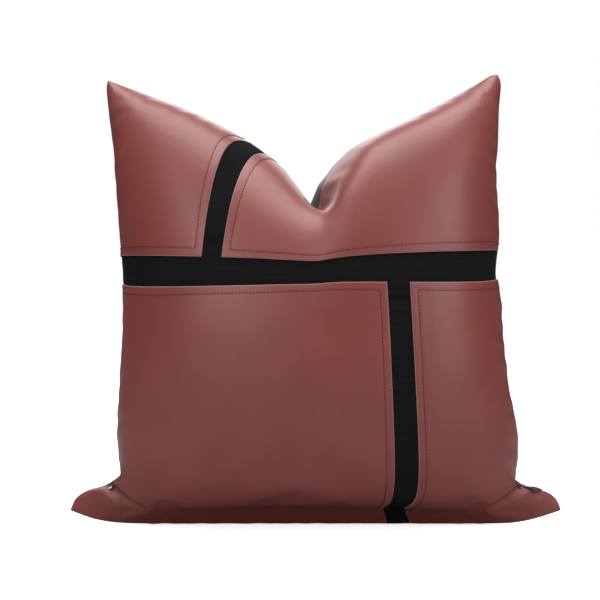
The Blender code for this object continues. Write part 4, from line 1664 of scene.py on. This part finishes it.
@dataclass
class Studio:
    """A pale floor, soft lights and the camera."""

    camera_at: Point = (-0.0142, -1.5, 0.206)
    frame_width: float = 0.549
    sensor: float = 36
    floor_half: float = 20

    def build(self) -> None:
        """Sets up the whole studio."""
        self.floor()
        self.lights()
        self.surround()
        self.camera()
        view = bpy.context.scene.view_settings
        view.view_transform = "Standard"
        view.look = "None"

    def floor(self) -> None:
        """Lays a large pale floor."""
        mesh = plane_mesh("floor", self.floor_half)
        floor = new_object("floor", mesh)
        material = bpy.data.materials.new("pale floor")
        material.use_nodes = True
        make = NodeBuilder(material.node_tree)
        shader = material.node_tree.nodes["Principled BSDF"]
        shader.inputs["Roughness"].default_value = 0.9
        shader.inputs["Specular IOR Level"].default_value = 0.1
        light = make.add("ShaderNodeLightPath")
        tone = make.mix(light.outputs["Is Camera Ray"], (0.42, 0.40, 0.40), (0.90, 0.90, 0.90))
        make.feed(shader.inputs["Base Color"], tone)
        shader.inputs["Emission Color"].default_value = (1, 1, 1, 1)
        make.feed(shader.inputs["Emission Strength"],
                  make.math("MULTIPLY", light.outputs["Is Camera Ray"], 0.75))
        mesh.materials.append(material)

    def lamp(self, name: str, at: Point, aim: Point, size: tuple[float, float],
             power: float) -> None:
        """Hangs one soft rectangular light.

        Args:
            name: its name.
            at: where it hangs.
            aim: what it faces.
            size: its width and height.
            power: its watts.
        """
        data = bpy.data.lights.new(name, "AREA")
        data.shape = "RECTANGLE"
        data.size, data.size_y = size
        data.energy = power
        lamp = new_object(name, data)
        lamp.location = at
        lamp.rotation_euler = (Vector(aim) - Vector(at)).to_track_quat("-Z", "Y").to_euler()
        lamp.visible_camera = False

    def lights(self) -> None:
        """Hangs the overhead, front and back lights."""
        middle = (0.0, 0.0, 0.22)
        self.lamp("overhead", (0.0, -0.35, 1.70), middle, (1.7, 1.2), 31)
        self.lamp("front left", (-0.75, -1.85, 0.70), middle, (0.40, 1.2), 9)
        self.lamp("front right", (1.40, -1.40, 0.65), middle, (0.45, 1.2), 10)
        self.lamp("behind", (0.0, 1.7, 1.2), middle, (2.4, 1.0), 16)

    def surround(self) -> None:
        """Makes the room white to look at and dimmer below than above."""
        world = bpy.data.worlds.new("studio")
        bpy.context.scene.world = world
        world.use_nodes = True
        make = NodeBuilder(world.node_tree)
        backing = world.node_tree.nodes["Background"]
        spot = make.add("ShaderNodeTexCoord")
        parts = make.add("ShaderNodeSeparateXYZ", {0: spot.outputs["Generated"]})
        rise = make.span(parts.outputs["Z"], 0.05, 0.9, 0.0, 0.80)
        light = make.add("ShaderNodeLightPath")
        seen = light.outputs["Is Camera Ray"]
        unseen = make.math("SUBTRACT", 1.0, seen)
        glow = make.math("ADD", seen, make.math("MULTIPLY", unseen, rise))
        backing.inputs["Color"].default_value = (1, 1, 1, 1)
        make.feed(backing.inputs["Strength"], glow)

    def camera(self) -> None:
        """Places the camera square to the front."""
        data = bpy.data.cameras.new("camera")
        data.sensor_width = self.sensor
        data.lens = self.sensor * -self.camera_at[1] / self.frame_width
        camera = new_object("camera", data)
        camera.location = self.camera_at
        camera.rotation_euler = (math.pi / 2, 0, 0)
        bpy.context.scene.camera = camera


def corners(box: Sequence[Sequence[float]]) -> list[list[float]]:
    """Gives a box as plain lists of numbers."""
    return [[float(value) for value in corner] for corner in box]


def main() -> None:
    """Builds the studio and then the cushion, piece by piece."""
    logging.basicConfig(level=logging.INFO, format="%(name)s: %(message)s")
    Studio().build()
    finishes = Finishes.mixed()
    cover = Cover(Pattern(), Seams(), ZipArc())
    repeat = repeat_tree()
    LeatherFront(cover, finishes, repeat).build()
    Webbing(cover, finishes, rib_tree()).build()
    Back(cover, finishes).build()
    Zip(cover, finishes, repeat).build()
    Insert(cover, finishes).build()
    SideLabel(cover, finishes).build()


if __name__ == "__main__":
    main()
